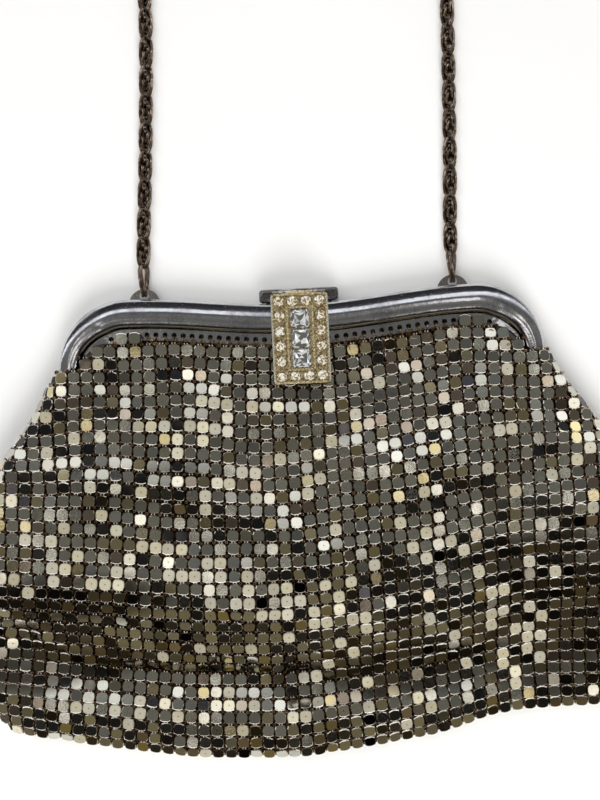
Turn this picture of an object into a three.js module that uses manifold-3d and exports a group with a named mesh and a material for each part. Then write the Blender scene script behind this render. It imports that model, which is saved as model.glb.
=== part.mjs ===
// A metal mesh purse with a jewelled clasp, lying on its back with the frame closed and the chain laid out.
// Millimetres. X runs to the right, Y from the pouch towards the chain, Z up from the floor.
import * as THREE from "three";
import { mergeVertices } from "three/addons/utils/BufferGeometryUtils.js";
import Module from "manifold-3d";

const wasm = await Module();
wasm.setup();

// Clearance between pieces that stay apart
const GAP = 0.3;

// Sizes of the two frame halves
const HALF_SPAN = 73.3;
const SHOULDER_RADIUS = 20.6;
const SHOULDER_TOP = 77.6;
const SADDLE_DEPTH = 3.6;
const ARM_LENGTH = 6.1;
const TUBE_WIDTH = 9;
const TUBE_DEPTH = 5.6;
const SHEET = 0.8;
const LIP = 0.2;
const FLANGE_WIDTH = 3.4;
const HOLE_RADIUS = 0.7;
const HOLE_PITCH = 2.75;
const HOLE_INSET = 1.7;
const HOLES_PAST_SHOULDER = 4.5;

const SHOULDER_X = HALF_SPAN - SHOULDER_RADIUS;
const SHOULDER_Y = SHOULDER_TOP - SHOULDER_RADIUS;
const ARM_END_Y = SHOULDER_Y - ARM_LENGTH;
const PARTING_Z = TUBE_DEPTH + 0.1;

// The section of one half. Columns of both: share of the width inwards, share of the depth up.
const TUBE_OUTSIDE = [
  [0, 0.036],
  [0, 0.32],
  [0.1, 0.7],
  [0.3, 0.946],
  [0.556, 1],
  [0.822, 0.875],
  [1, 0.643],
  [1, 0.429],
];
const TUBE_INSIDE = [
  [1, 0.333],
  [0.865, 0.812],
  [0.554, 0.99],
  [0.243, 0.896],
  [0.014, 0.375],
  [0, 0.042],
];
const FLANGE_SHARE = TUBE_OUTSIDE[7][1];

// How the tube thins round the shoulder and down the arm.
// Columns: degrees above the shoulder's centre, share of the width, share of the depth, share of the flange.
const TAPER = [
  [-40, 0.61, 0.5, 0.15],
  [0, 0.66, 0.55, 0.15],
  [20, 0.76, 0.68, 0.2],
  [40, 0.9, 0.87, 0.4],
  [60, 1, 1, 0.85],
  [75, 1, 1, 1],
  [90, 1, 1, 1],
];

// Sizes of the frame's hinges
const HINGE_PIN = 0.7;
const HINGE_DISC = 2.4;
const HINGE_PLATE = 1.0;
const RIVET_HEAD = 1.7;
const RIVET_HEAD_THICK = 0.6;
const HINGE_Y = ARM_END_Y - HINGE_DISC - 0.5;
const HINGE_X = HALF_SPAN - (TUBE_WIDTH * TAPER[0][1]) / 2 - 0.2;

// Sizes of the chain
const LINK_PITCH = 8.65;
const LINK_HALF = 1.72;
const WIRE_RADIAL = 0.5;
const WIRE_NORMAL = 0.92;
const WIRE_SIDES = 5;
const LINK_OVERLAP = 2 * WIRE_RADIAL * Math.cos(Math.PI / WIRE_SIDES) - 0.06;
const CHAIN_Z = LINK_HALF + 0.2;

// Sizes of the ears that take the chain
const EAR_X = 47;
const EAR_RADIUS = 4.8;
const EAR_THICK = 1.0;
const EAR_HOLE = Math.hypot(WIRE_RADIAL, WIRE_NORMAL) + 0.4;
const EAR_Z = PARTING_Z - 2.6;
const EAR_HOLE_Y = saddleY(EAR_X) + EAR_HOLE - 0.05;
const EAR_CENTRE_Y = saddleY(EAR_X) - 1.3;

// Sizes of the bracket that takes the clasp, and of the clasp's pin
const BRACKET_HALF = 12;
const BRACKET_LONG = 4.05;
const BRACKET_HIGH = 3.8;
const BRACKET_BEVEL = 0.9;
const BRACKET_CORNER = 1.6;
const CLASP_PIN = 0.7;
const KNUCKLE = 1.7;
const FLAP_KNUCKLE_HALF = 4;
const BRACKET_KNUCKLE_LONG = 3.7;
const BRACKET_FROM = saddleY(BRACKET_HALF) + GAP;
const BRACKET_LOW = PARTING_Z - 2.3;
const BRACKET_KNUCKLE_END = FLAP_KNUCKLE_HALF + GAP + BRACKET_KNUCKLE_LONG;
const CLASP_Y = saddleY(BRACKET_KNUCKLE_END) + GAP + KNUCKLE;

// Sizes of the clasp flap
const FLAP_WIDTH = 17;
const FLAP_LONG = 27;
const FLAP_BASE = 1.2;
const RIM = 0.7;
const RIM_HIGH = 1.0;
const CHANNEL_WALL = 0.6;
const FLAP_LOW = PARTING_Z + TUBE_DEPTH + GAP + 0.05;
const FLAP_TOP = CLASP_Y + 0.65;
const FLAP_MIDDLE = FLAP_TOP - FLAP_LONG / 2;
const FLAP_BED = FLAP_LOW + FLAP_BASE;
const CLASP_Z = FLAP_LOW - KNUCKLE - GAP;
const CATCH_HALF = 3;
const CATCH_THICK = 0.8;
const CATCH_TO = saddleY(0) - TUBE_WIDTH - 0.9;
const CATCH_LOW = PARTING_Z + TUBE_DEPTH * FLANGE_SHARE + 0.9;

// Sizes of the stones
const ROUND_RADIUS = 1.4;
const ROUND_HIGH = 1.05;
const ROUND_ROWS = 6;
const SQUARE_SIDE = 5.5;
const SQUARE_HIGH = 1.15;
const SQUARE_PITCH = SQUARE_SIDE + 0.4;
const SQUARE_COUNT = 3;
const STONE_LIFT = 0.1;
const CHANNEL_HALF = SQUARE_SIDE / 2 + 0.75 + CHANNEL_WALL;
const CHANNEL_HALF_LONG = ((SQUARE_COUNT - 1) * SQUARE_PITCH + SQUARE_SIDE) / 2 + 0.35 + CHANNEL_WALL;

// Sizes of the mesh pouch
const WALL = 1.5;
const POUCH_LENGTH = 124.75;
const POUCH_HALF_WIDTH = 104;
const BULGE = 7.8;
const BOTTOM_ROLL = 6;
const SIDE_ROLL = { top: 5, low: 12.5, from: 0.25, to: 0.75, back: 5 };
const MOUTH_DROP = 10.1;
const MOUTH_HALF = HALF_SPAN + WALL + GAP;
const MOUTH_BELOW_EDGE = TUBE_WIDTH + FLANGE_WIDTH + GAP + 0.05;
const MOUTH_DROPS_FROM = SHOULDER_X + 3.3;
const MOUTH_Y = saddleY(0) - MOUTH_BELOW_EDGE;
const FULL_HEIGHT = 2 * TUBE_DEPTH + BULGE;
const SEAM_Z = PARTING_Z - LIP;

// Half width down the pouch. Columns: share of the length, share of the way from the mouth's to the full one.
const HALF_WIDTH = [
  [0, 0],
  [0.06, 0.022],
  [0.11, 0.083],
  [0.17, 0.227],
  [0.225, 0.371],
  [0.27, 0.525],
  [0.37, 0.73],
  [0.49, 0.885],
  [0.62, 0.964],
  [0.75, 1],
  [0.85, 0.964],
  [0.93, 0.838],
  [1, 0.64],
];
const BOTTOM_HALF_WIDTH = MOUTH_HALF + HALF_WIDTH[12][1] * (POUCH_HALF_WIDTH - MOUTH_HALF);

// The bottom edge. Columns: share of the full half width across, share of the length down.
const BOTTOM_EDGE = [
  [-0.92, 0.9006],
  [-0.779, 0.9238],
  [-0.635, 0.9479],
  [-0.346, 0.9888],
  [-0.058, 1],
  [0.231, 0.9703],
  [0.375, 0.9519],
  [0.49, 0.9158],
  [0.577, 0.9046],
  [0.808, 0.9038],
  [0.913, 0.8998],
];

// Height of the front. Columns: share of the length, then the share of the full height at the left,
// in the middle and at the right.
const FRONT_HEIGHT = [
  [0, 0.55, 0.51, 0.55],
  [0.08, 0.62, 0.53, 0.62],
  [0.2, 0.75, 0.7, 0.78],
  [0.32, 0.86, 0.84, 0.92],
  [0.45, 0.93, 0.93, 0.95],
  [0.56, 1, 1, 0.87],
  [0.66, 0.8, 0.93, 0.74],
  [0.75, 0.46, 0.62, 0.6],
  [0.82, 0.44, 0.46, 0.48],
  [0.9, 0.56, 0.52, 0.46],
  [0.97, 0.46, 0.46, 0.42],
  [1, 0.44, 0.44, 0.4],
];

// Ridges and creases of the mesh. Columns: from and to, each as a share of the full half width across and of
// the length down, then the reach as a share of the length and the rise as a share of the full height.
const FOLDS = [
  [-0.885, 0.2585, -0.567, 0.3066, 0.036, 0.116],
  [-0.356, 0.3146, 0.067, 0.507, 0.04, 0.105],
  [-0.913, 0.5551, -0.192, 0.6032, 0.056, 0.116],
  [-0.827, 0.7395, -0.481, 0.7876, 0.048, -0.116],
  [-0.481, 0.7876, -0.048, 0.8196, 0.048, -0.137],
  [-0.048, 0.8196, 0.385, 0.8116, 0.048, -0.126],
  [0.385, 0.8116, 0.702, 0.7956, 0.048, -0.105],
  [-0.577, 0.0421, -0.5, 0.1383, 0.028, -0.084],
  [0.731, 0.1784, 0.865, 0.2505, 0.032, -0.116],
  [-0.865, 0.6513, -0.76, 0.7715, 0.032, -0.084],
  [-0.404, 0.0261, -0.288, 0.0822, 0.024, -0.063],
  [0.288, 0.0261, 0.385, 0.1062, 0.032, -0.053],
  [0.115, 0.2505, 0.462, 0.3146, 0.04, 0.074],
];

// Where the grid of the pouch has its columns and rows, as shares.
const COLUMNS = [0, 0.13, 0.26, 0.39, 0.52, 0.64, 0.75, 0.85, 0.92, 0.97, 1];
const ROWS = [0, 0.09, 0.18, 0.27, 0.36, 0.45, 0.54, 0.62, 0.69, 0.755, 0.82, 0.89, 0.95, 0.985, 1];

// The way the chain lies between its two ears. Columns: x, y.
const CHAIN_WAY = [
  [-46.8, 92],
  [-44.8, 122],
  [-42.9, 160],
  [-42.2, 190],
  [-36, 215],
  [-19, 235.5],
  [3.5, 242],
  [26, 235.5],
  [43, 215],
  [49.6, 190],
  [49.4, 160],
  [48.4, 124],
  [47.2, 94],
];

// The shape of one link. Columns: share of its half length, share of its half width.
const LINK_SHAPE = [
  [1, 0.44],
  [0.82, 0.94],
  [0, 1],
  [-0.82, 0.94],
  [-1, 0.44],
  [-1, -0.44],
  [-0.82, -0.94],
  [0, -1],
  [0.82, -0.94],
  [1, -0.44],
];

const FINISHES = {
  frame: { color: 0x8f9298, roughness: 0.18, metalness: 1 },
  rivet: { color: 0x7d7c7a, roughness: 0.3, metalness: 1 },
  pin: { color: 0x4a4946, roughness: 0.3, metalness: 1 },
  flap: { color: 0xa08a54, roughness: 0.35, metalness: 1 },
  stone: { color: 0xe9e6d2, roughness: 0.08, metalness: 0.1 },
  mesh: { color: 0x8a8478, roughness: 0.35, metalness: 1 },
  chain: { color: 0x4d3f38, roughness: 0.45, metalness: 1 },
};

// A solid from points and triangles, turned to face outwards.
function solidOf(points, triangles) {
  let volume = 0;
  for (let i = 0; i < triangles.length; i += 3) {
    const a = new THREE.Vector3(...points[triangles[i]]);
    const b = new THREE.Vector3(...points[triangles[i + 1]]);
    const c = new THREE.Vector3(...points[triangles[i + 2]]);
    volume += a.dot(b.cross(c));
  }
  const order = volume < 0 ? [0, 2, 1] : [0, 1, 2];
  const turned = new Uint32Array(triangles.length);
  for (let i = 0; i < triangles.length; i += 3) {
    for (let k = 0; k < 3; k += 1) turned[i + k] = triangles[i + order[k]];
  }
  return new wasm.Manifold(
    new wasm.Mesh({ numProp: 3, vertProperties: new Float32Array(points.flat()), triVerts: turned }),
  );
}

// A solid from a three.js geometry.
function solidOfGeometry(geometry) {
  const bare = geometry.index ? geometry.toNonIndexed() : geometry.clone();
  bare.deleteAttribute("normal");
  bare.deleteAttribute("uv");
  const merged = mergeVertices(bare, 1e-4);
  const position = merged.getAttribute("position");
  const points = [];
  for (let i = 0; i < position.count; i += 1) {
    points.push([position.getX(i), position.getY(i), position.getZ(i)]);
  }
  return solidOf(points, Array.from(merged.index.array));
}

// A three.js geometry from a solid.
function geometryOf(solid) {
  const made = solid.getMesh();
  const positions = new Float32Array(made.numVert * 3);
  for (let i = 0; i < made.numVert; i += 1) {
    positions.set(made.vertProperties.subarray(i * made.numProp, i * made.numProp + 3), i * 3);
  }
  const geometry = new THREE.BufferGeometry();
  geometry.setAttribute("position", new THREE.BufferAttribute(positions, 3));
  geometry.setIndex(new THREE.BufferAttribute(made.triVerts, 1));
  return geometry;
}

// A closed solid through rings of points. Open ends are closed flat, and the outline gives a ring as flat points.
function loft(rings, outline) {
  const count = rings[0].length;
  const triangles = [];
  const spans = outline ? rings.length - 1 : rings.length;
  for (let r = 0; r < spans; r += 1) {
    const next = (r + 1) % rings.length;
    for (let i = 0; i < count; i += 1) {
      const j = (i + 1) % count;
      const [a, b, c, d] = [r * count + i, r * count + j, next * count + i, next * count + j];
      triangles.push(a, b, d, a, d, c);
    }
  }
  if (outline) {
    const contour = outline.map(([x, y]) => new THREE.Vector2(x, y));
    const along = THREE.ShapeUtils.area(contour) > 0;
    const last = (rings.length - 1) * count;
    for (const face of THREE.ShapeUtils.triangulateShape(contour, [])) {
      const [p, q, s] = face.map((index) => contour[index]);
      const left = (q.x - p.x) * (s.y - p.y) - (q.y - p.y) * (s.x - p.x) > 0;
      const [i, j, k] = left === along ? face : [face[0], face[2], face[1]];
      triangles.push(last + i, last + j, last + k, i, k, j);
    }
  }
  return solidOf(rings.flat(), triangles);
}

// A box between two corners.
function block(from, to) {
  const size = to.map((value, axis) => value - from[axis]);
  const centre = to.map((value, axis) => (value + from[axis]) / 2);
  return solidOfGeometry(new THREE.BoxGeometry(...size).translate(...centre));
}

// A cylinder along X between two ends.
function barAlongX(fromX, toX, y, z, radius, sides) {
  const bar = new THREE.CylinderGeometry(radius, radius, toX - fromX, sides);
  return solidOfGeometry(bar.rotateZ(Math.PI / 2).translate((fromX + toX) / 2, y, z));
}

// A cylinder along Z between two heights.
function barAlongZ(x, y, low, high, radius, sides) {
  const bar = new THREE.CylinderGeometry(radius, radius, high - low, sides);
  return solidOfGeometry(bar.rotateX(Math.PI / 2).translate(x, y, (low + high) / 2));
}

// A flat rectangle with rounded corners, about the origin.
function roundedShape(width, length, radius, Type = THREE.Shape) {
  const [x, y] = [width / 2, length / 2];
  const shape = new Type();
  shape.moveTo(-x + radius, -y);
  shape.lineTo(x - radius, -y);
  shape.quadraticCurveTo(x, -y, x, -y + radius);
  shape.lineTo(x, y - radius);
  shape.quadraticCurveTo(x, y, x - radius, y);
  shape.lineTo(-x + radius, y);
  shape.quadraticCurveTo(-x, y, -x, y - radius);
  shape.lineTo(-x, -y + radius);
  shape.quadraticCurveTo(-x, -y, -x + radius, -y);
  return shape;
}

// A flat shape made thick, about a middle, from a height up.
function slab(shape, high, y, low) {
  const options = { depth: high, bevelEnabled: false, curveSegments: 2 };
  return solidOfGeometry(new THREE.ExtrudeGeometry(shape, options).translate(0, y, low));
}

// A value between the rows of a table whose first column is the way along it.
function tableValue(table, at, column) {
  if (at <= table[0][0]) return table[0][column];
  for (let i = 1; i < table.length; i += 1) {
    if (at <= table[i][0]) {
      const share = (at - table[i - 1][0]) / (table[i][0] - table[i - 1][0]);
      return THREE.MathUtils.lerp(table[i - 1][column], table[i][column], share);
    }
  }
  return table[table.length - 1][column];
}

// The same with the table's corners rounded off, averaged over a short stretch.
function softTableValue(table, at, column, stretch) {
  let sum = 0;
  for (const [shift, weight] of [[-1, 1], [-0.5, 2], [0, 2], [0.5, 2], [1, 1]]) {
    sum += weight * tableValue(table, at + shift * stretch, column);
  }
  return sum / 8;
}

// The outer edge of the frame between the shoulders.
function saddleY(x) {
  return SHOULDER_TOP - (SADDLE_DEPTH * (1 + Math.cos((Math.PI * x) / SHOULDER_X))) / 2;
}

function saddleSlope(x) {
  return ((SADDLE_DEPTH * Math.PI) / (2 * SHOULDER_X)) * Math.sin((Math.PI * x) / SHOULDER_X);
}

// The stations of the frame from the right arm's end to the middle: place, way inwards, angle for the taper.
function rightStations() {
  const stations = [];
  for (const share of [1, 0.5]) {
    stations.push({ x: HALF_SPAN, y: SHOULDER_Y - share * ARM_LENGTH, inX: -1, inY: 0, angle: -40 * share });
  }
  for (const degrees of [0, 18, 36, 54, 72, 90]) {
    const [cos, sin] = [Math.cos(THREE.MathUtils.degToRad(degrees)), Math.sin(THREE.MathUtils.degToRad(degrees))];
    const [x, y] = [SHOULDER_X + SHOULDER_RADIUS * cos, SHOULDER_Y + SHOULDER_RADIUS * sin];
    stations.push({ x, y, inX: -cos, inY: -sin, angle: degrees });
  }
  for (const share of [0.75, 0.5, 0.25, 0]) {
    const x = share * SHOULDER_X;
    const long = Math.hypot(1, saddleSlope(x));
    stations.push({ x, y: saddleY(x), inX: saddleSlope(x) / long, inY: -1 / long, angle: 90 });
  }
  return stations;
}

// The flat section of one half at a station.
function frameSection(angle) {
  const wide = TUBE_WIDTH * tableValue(TAPER, angle, 1);
  const deep = TUBE_DEPTH * tableValue(TAPER, angle, 2);
  const flange = wide + FLANGE_WIDTH * tableValue(TAPER, angle, 3);
  const flangeTop = deep * FLANGE_SHARE;
  const outside = TUBE_OUTSIDE.map(([inwards, up], i) => [inwards * wide, i === 0 ? LIP : up * deep]);
  const inside = TUBE_INSIDE.map(([inwards, up], i) => {
    const height = i === 0 ? flangeTop - SHEET : Math.max(LIP, up * (deep - SHEET));
    return [SHEET + inwards * (wide - 2 * SHEET), i === 5 ? LIP : height];
  });
  return [...outside, [flange, flangeTop], [flange, flangeTop - SHEET], ...inside];
}

// One half of the frame: the swept sheet, its pierced flange and its two hinge plates.
// The other half is this one turned about the Y axis through the parting plane.
function frameHalf() {
  const right = rightStations();
  const left = right.slice(0, -1).map((station) => ({ ...station, x: -station.x, inX: -station.inX }));
  const stations = [...right, ...left.reverse()];
  const rings = stations.map((station) =>
    frameSection(station.angle).map(([inwards, up]) => [
      station.x + station.inX * inwards,
      station.y + station.inY * inwards,
      PARTING_Z + up,
    ]),
  );
  let half = loft(rings, frameSection(stations[0].angle));
  for (const hole of flangeHoles()) half = half.subtract(hole);
  const plateTop = PARTING_Z + TUBE_DEPTH * TAPER[0][2] - SHEET + 0.2;
  for (const from of [HINGE_X - HINGE_PLATE - GAP / 2, -HINGE_X - HINGE_PLATE - GAP / 2]) {
    const to = from + HINGE_PLATE;
    const disc = barAlongX(from, to, HINGE_Y, PARTING_Z, HINGE_DISC, 10);
    const root = block([from, HINGE_Y, PARTING_Z + GAP], [to, SHOULDER_Y - 0.4 * ARM_LENGTH, plateTop]);
    half = half.add(disc).add(root);
    half = half.subtract(barAlongX(from - 1, to + 1, HINGE_Y, PARTING_Z, HINGE_PIN + GAP, 8));
  }
  return half;
}

// The row of holes for the mesh, evenly spaced along the flange.
function flangeHoles() {
  const inset = TUBE_WIDTH + HOLE_INSET;
  const line = [];
  for (let i = -20; i <= 20; i += 1) {
    const x = (i * SHOULDER_X) / 20;
    const long = Math.hypot(1, saddleSlope(x));
    line.push(new THREE.Vector3(x + (inset * saddleSlope(x)) / long, saddleY(x) - inset / long, 0));
  }
  const reach = SHOULDER_RADIUS - inset;
  for (const share of [0.5, 1]) {
    const angle = Math.PI / 2 - (HOLES_PAST_SHOULDER * share) / reach;
    const [x, y] = [SHOULDER_X + reach * Math.cos(angle), SHOULDER_Y + reach * Math.sin(angle)];
    line.push(new THREE.Vector3(x, y, 0));
    line.unshift(new THREE.Vector3(-x, y, 0));
  }
  const curve = new THREE.CatmullRomCurve3(line);
  const count = Math.round(curve.getLength() / HOLE_PITCH);
  const high = PARTING_Z + TUBE_DEPTH * FLANGE_SHARE;
  const [low, top] = [high - SHEET - 0.6, high + 0.6];
  return curve.getSpacedPoints(count).map(({ x, y }) => barAlongZ(x, y, low, top, HOLE_RADIUS, 6));
}

// A half-disc ear with the hole for the chain.
function chainEar(x) {
  const shape = new THREE.Shape();
  shape.absarc(0, 0, EAR_RADIUS, 0, Math.PI, false);
  const options = { depth: EAR_THICK, bevelEnabled: false, curveSegments: 10 };
  const plate = new THREE.ExtrudeGeometry(shape, options).translate(x, EAR_CENTRE_Y, EAR_Z - EAR_THICK / 2);
  return solidOfGeometry(plate).subtract(barAlongZ(x, EAR_HOLE_Y, EAR_Z - 1.5, EAR_Z + 1.5, EAR_HOLE, 10));
}

// The bracket behind the clasp: a pillowed bar, its foot on the frame and its two knuckles.
function claspBracket() {
  const outline = roundedShape(
    2 * (BRACKET_HALF - BRACKET_BEVEL),
    BRACKET_LONG - 2 * BRACKET_BEVEL,
    BRACKET_CORNER - BRACKET_BEVEL,
  );
  const bar = new THREE.ExtrudeGeometry(outline, {
    depth: BRACKET_HIGH - 2 * BRACKET_BEVEL,
    bevelThickness: BRACKET_BEVEL,
    bevelSize: BRACKET_BEVEL,
    bevelSegments: 1,
    curveSegments: 2,
  });
  const middle = BRACKET_FROM + BRACKET_LONG / 2;
  const top = BRACKET_LOW + BRACKET_HIGH;
  let bracket = solidOfGeometry(bar.translate(0, middle, BRACKET_LOW + BRACKET_BEVEL));
  const foot = BRACKET_HALF - 2;
  const footFrom = saddleY(0) - 1.5 * SHEET;
  bracket = bracket.add(block([-foot, footFrom, BRACKET_LOW], [foot, BRACKET_FROM + 1.5, BRACKET_LOW + 1]));
  for (const side of [1, -1]) {
    const ends = [side * (FLAP_KNUCKLE_HALF + GAP), side * BRACKET_KNUCKLE_END];
    const [from, to] = side > 0 ? ends : ends.reverse();
    bracket = bracket.add(barAlongX(from, to, CLASP_Y, CLASP_Z, KNUCKLE, 10));
    bracket = bracket.add(block([from, CLASP_Y - 1.1, top - 1], [to, CLASP_Y + 1.1, CLASP_Z]));
  }
  const reach = BRACKET_KNUCKLE_END + 1;
  return bracket.subtract(barAlongX(-reach, reach, CLASP_Y, CLASP_Z, CLASP_PIN + GAP, 8));
}

// The flap: a plate with a raised rim, the wall of the stone channel, the knuckle and the catch lip.
function claspFlap() {
  const rim = roundedShape(FLAP_WIDTH, FLAP_LONG, 1);
  rim.holes.push(roundedShape(FLAP_WIDTH - 2 * RIM, FLAP_LONG - 2 * RIM, 0.4, THREE.Path));
  const channel = roundedShape(2 * CHANNEL_HALF, 2 * CHANNEL_HALF_LONG, 0.4);
  const [insideHalf, insideLong] = [CHANNEL_HALF - CHANNEL_WALL, CHANNEL_HALF_LONG - CHANNEL_WALL];
  channel.holes.push(roundedShape(2 * insideHalf, 2 * insideLong, 0.2, THREE.Path));
  let flap = slab(roundedShape(FLAP_WIDTH, FLAP_LONG, 1), FLAP_BASE, FLAP_MIDDLE, FLAP_LOW);
  flap = flap.add(slab(rim, RIM_HIGH + 0.2, FLAP_MIDDLE, FLAP_BED - 0.2));
  flap = flap.add(slab(channel, RIM_HIGH, FLAP_MIDDLE, FLAP_BED - 0.2));
  const half = FLAP_KNUCKLE_HALF;
  flap = flap.add(barAlongX(-half, half, CLASP_Y, CLASP_Z, KNUCKLE, 10));
  flap = flap.add(block([-half, CLASP_Y - 1.1, CLASP_Z], [half, FLAP_TOP - 0.1, FLAP_LOW + 0.5]));
  const [from, to] = [CATCH_TO - CATCH_THICK, CATCH_TO];
  flap = flap.add(block([-CATCH_HALF, from, CATCH_LOW], [CATCH_HALF, to, FLAP_LOW + 0.5]));
  return flap.subtract(barAlongX(-half - 1, half + 1, CLASP_Y, CLASP_Z, CLASP_PIN + GAP, 8));
}

// A cut stone on an eight-sided girdle: a flat back, eight facets under it, eight above and a table.
function cutStone(girdle, table, high, x, y) {
  const low = FLAP_BED + STONE_LIFT;
  const ring = (shape, scale, z) => shape.map(([u, v]) => [x + u * scale, y + v * scale, low + z]);
  return loft([ring(girdle, 0.7, 0), ring(girdle, 1, high * 0.5), ring(table, 1, high)], girdle);
}

function eightPoints(radius) {
  return Array.from({ length: 8 }, (_, i) => {
    const angle = ((i + 0.5) * Math.PI) / 4;
    return [radius * Math.cos(angle), radius * Math.sin(angle)];
  });
}

// A square with its corners cut off, as eight points in order.
function cutSquare(half, cut) {
  const [a, b] = [half, half - cut];
  return [[a, b], [b, a], [-b, a], [-a, b], [-a, -b], [-b, -a], [b, -a], [a, -b]];
}

function roundStones() {
  const across = FLAP_WIDTH / 2 - RIM - GAP - ROUND_RADIUS;
  const inset = RIM + 0.2 + ROUND_RADIUS;
  const pitch = (FLAP_LONG - 2 * inset) / (ROUND_ROWS - 1);
  const stones = [];
  for (let row = 0; row < ROUND_ROWS; row += 1) {
    const y = FLAP_TOP - inset - row * pitch;
    const endRow = row === 0 || row === ROUND_ROWS - 1;
    for (const share of endRow ? [-1, -1 / 3, 1 / 3, 1] : [-1, 1]) {
      const table = eightPoints(ROUND_RADIUS * 0.55);
      stones.push(cutStone(eightPoints(ROUND_RADIUS), table, ROUND_HIGH, across * share, y));
    }
  }
  return stones;
}

function squareStones() {
  return Array.from({ length: SQUARE_COUNT }, (_, i) => {
    const y = FLAP_MIDDLE + ((SQUARE_COUNT - 1) / 2 - i) * SQUARE_PITCH;
    const table = cutSquare(SQUARE_SIDE / 4, SQUARE_SIDE / 22);
    return cutStone(cutSquare(SQUARE_SIDE / 2, SQUARE_SIDE / 11), table, SQUARE_HIGH, 0, y);
  });
}

// How far down the mouth of the pouch starts: past the shoulders it hangs lower, over the arms.
function mouthShare(across) {
  const start = MOUTH_DROPS_FROM / MOUTH_HALF;
  const past = Math.max(0, (Math.abs(across) - start) / (1 - start));
  return (MOUTH_DROP / POUCH_LENGTH) * Math.sin((past * Math.PI) / 2);
}

// How round the rolled side and bottom are: 0 at the edge, 1 past the roll.
function rolled(distance, reach) {
  const left = THREE.MathUtils.clamp(distance / reach, 0, 1);
  return Math.sqrt(1 - (1 - left) ** 2);
}

// A point on the pouch. The place across runs from -1 to 1, and down from 0 below the frame to 1.
// The inset is 0 for the outside and the wall for the inside.
function pouchPoint(across, down, front, inset) {
  const share = softTableValue(HALF_WIDTH, down, 1, 0.03);
  const halfWidth = THREE.MathUtils.lerp(MOUTH_HALF, POUCH_HALF_WIDTH, share);
  const x = across * (halfWidth - inset);
  const bottomAt = (across * BOTTOM_HALF_WIDTH) / POUCH_HALF_WIDTH;
  const bottom = MOUTH_Y - POUCH_LENGTH * softTableValue(BOTTOM_EDGE, bottomAt, 1, 0.077) + inset;
  const mouthX = Math.min(Math.abs(across) * MOUTH_HALF, SHOULDER_X);
  const top = saddleY(mouthX) - MOUTH_BELOW_EDGE;
  const y = THREE.MathUtils.lerp(top, bottom, down);
  const low = THREE.MathUtils.smoothstep(down, SIDE_ROLL.from, SIDE_ROLL.to);
  const sideReach = front ? THREE.MathUtils.lerp(SIDE_ROLL.top, SIDE_ROLL.low, low) : SIDE_ROLL.back;
  const side = rolled((1 - Math.abs(across)) * halfWidth, sideReach);
  const roll = side * rolled((1 - down) * (top - bottom), BOTTOM_ROLL);
  if (!front) return [x, y, SEAM_Z - (SEAM_Z - inset) * roll];
  const heights = [1, 2, 3].map((column) => softTableValue(FRONT_HEIGHT, down, column, 0.035));
  const toSide = THREE.MathUtils.smoothstep(Math.abs(across), 0.08, 0.62);
  const height = THREE.MathUtils.lerp(heights[1], across < 0 ? heights[0] : heights[2], toSide);
  let rise = height * FULL_HEIGHT - SEAM_Z;
  for (const fold of FOLDS) rise += foldRise(fold, across * halfWidth, y);
  return [x, y, SEAM_Z + Math.max(0.6, rise - inset) * roll];
}

function foldRise([fromAcross, fromDown, toAcross, toDown, reach, rise], x, y) {
  const [fromX, fromY] = [fromAcross * POUCH_HALF_WIDTH, MOUTH_Y - fromDown * POUCH_LENGTH];
  const alongX = toAcross * POUCH_HALF_WIDTH - fromX;
  const alongY = MOUTH_Y - toDown * POUCH_LENGTH - fromY;
  const long = alongX * alongX + alongY * alongY;
  const share = THREE.MathUtils.clamp(((x - fromX) * alongX + (y - fromY) * alongY) / long, 0, 1);
  const away = Math.hypot(x - fromX - share * alongX, y - fromY - share * alongY);
  return rise * FULL_HEIGHT * Math.exp(-((away / (reach * POUCH_LENGTH)) ** 2));
}

// The pouch as one closed skin: outside and inside, front and back, joined round the mouth.
function meshPouch() {
  const places = [...COLUMNS.slice(1).map((share) => -share).reverse(), ...COLUMNS];
  const last = places.length - 1;
  const points = [];
  const triangles = [];
  const mouths = [0, WALL].map((inset) => {
    const rows = ROWS.map((share) => {
      const add = (across, front) => {
        const down = THREE.MathUtils.lerp(mouthShare(across), 1, share);
        return points.push(pouchPoint(across, down, front, inset)) - 1;
      };
      const frontRow = places.map((across) => add(across, true));
      const backRow = places.map((across, i) => {
        const shared = i === 0 || i === last || share === 1;
        return shared ? frontRow[i] : add(across, false);
      });
      return [frontRow, backRow];
    });
    for (let r = 0; r + 1 < rows.length; r += 1) {
      for (const face of [0, 1]) {
        const [upper, lower] = [rows[r][face], rows[r + 1][face]];
        for (let i = 0; i < last; i += 1) {
          addQuad(triangles, [upper[i], lower[i], lower[i + 1], upper[i + 1]], (face === 1) !== inset > 0);
        }
      }
    }
    return rows[0];
  });
  for (const face of [0, 1]) {
    const [outer, inner] = [mouths[0][face], mouths[1][face]];
    for (let i = 0; i < last; i += 1) {
      addQuad(triangles, [inner[i], outer[i], outer[i + 1], inner[i + 1]], face === 1);
    }
  }
  return solidOf(points, triangles);
}

function addQuad(triangles, [a, b, c, d], turned) {
  if (turned) triangles.push(a, c, b, a, d, c);
  else triangles.push(a, b, c, a, c, d);
}

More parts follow.
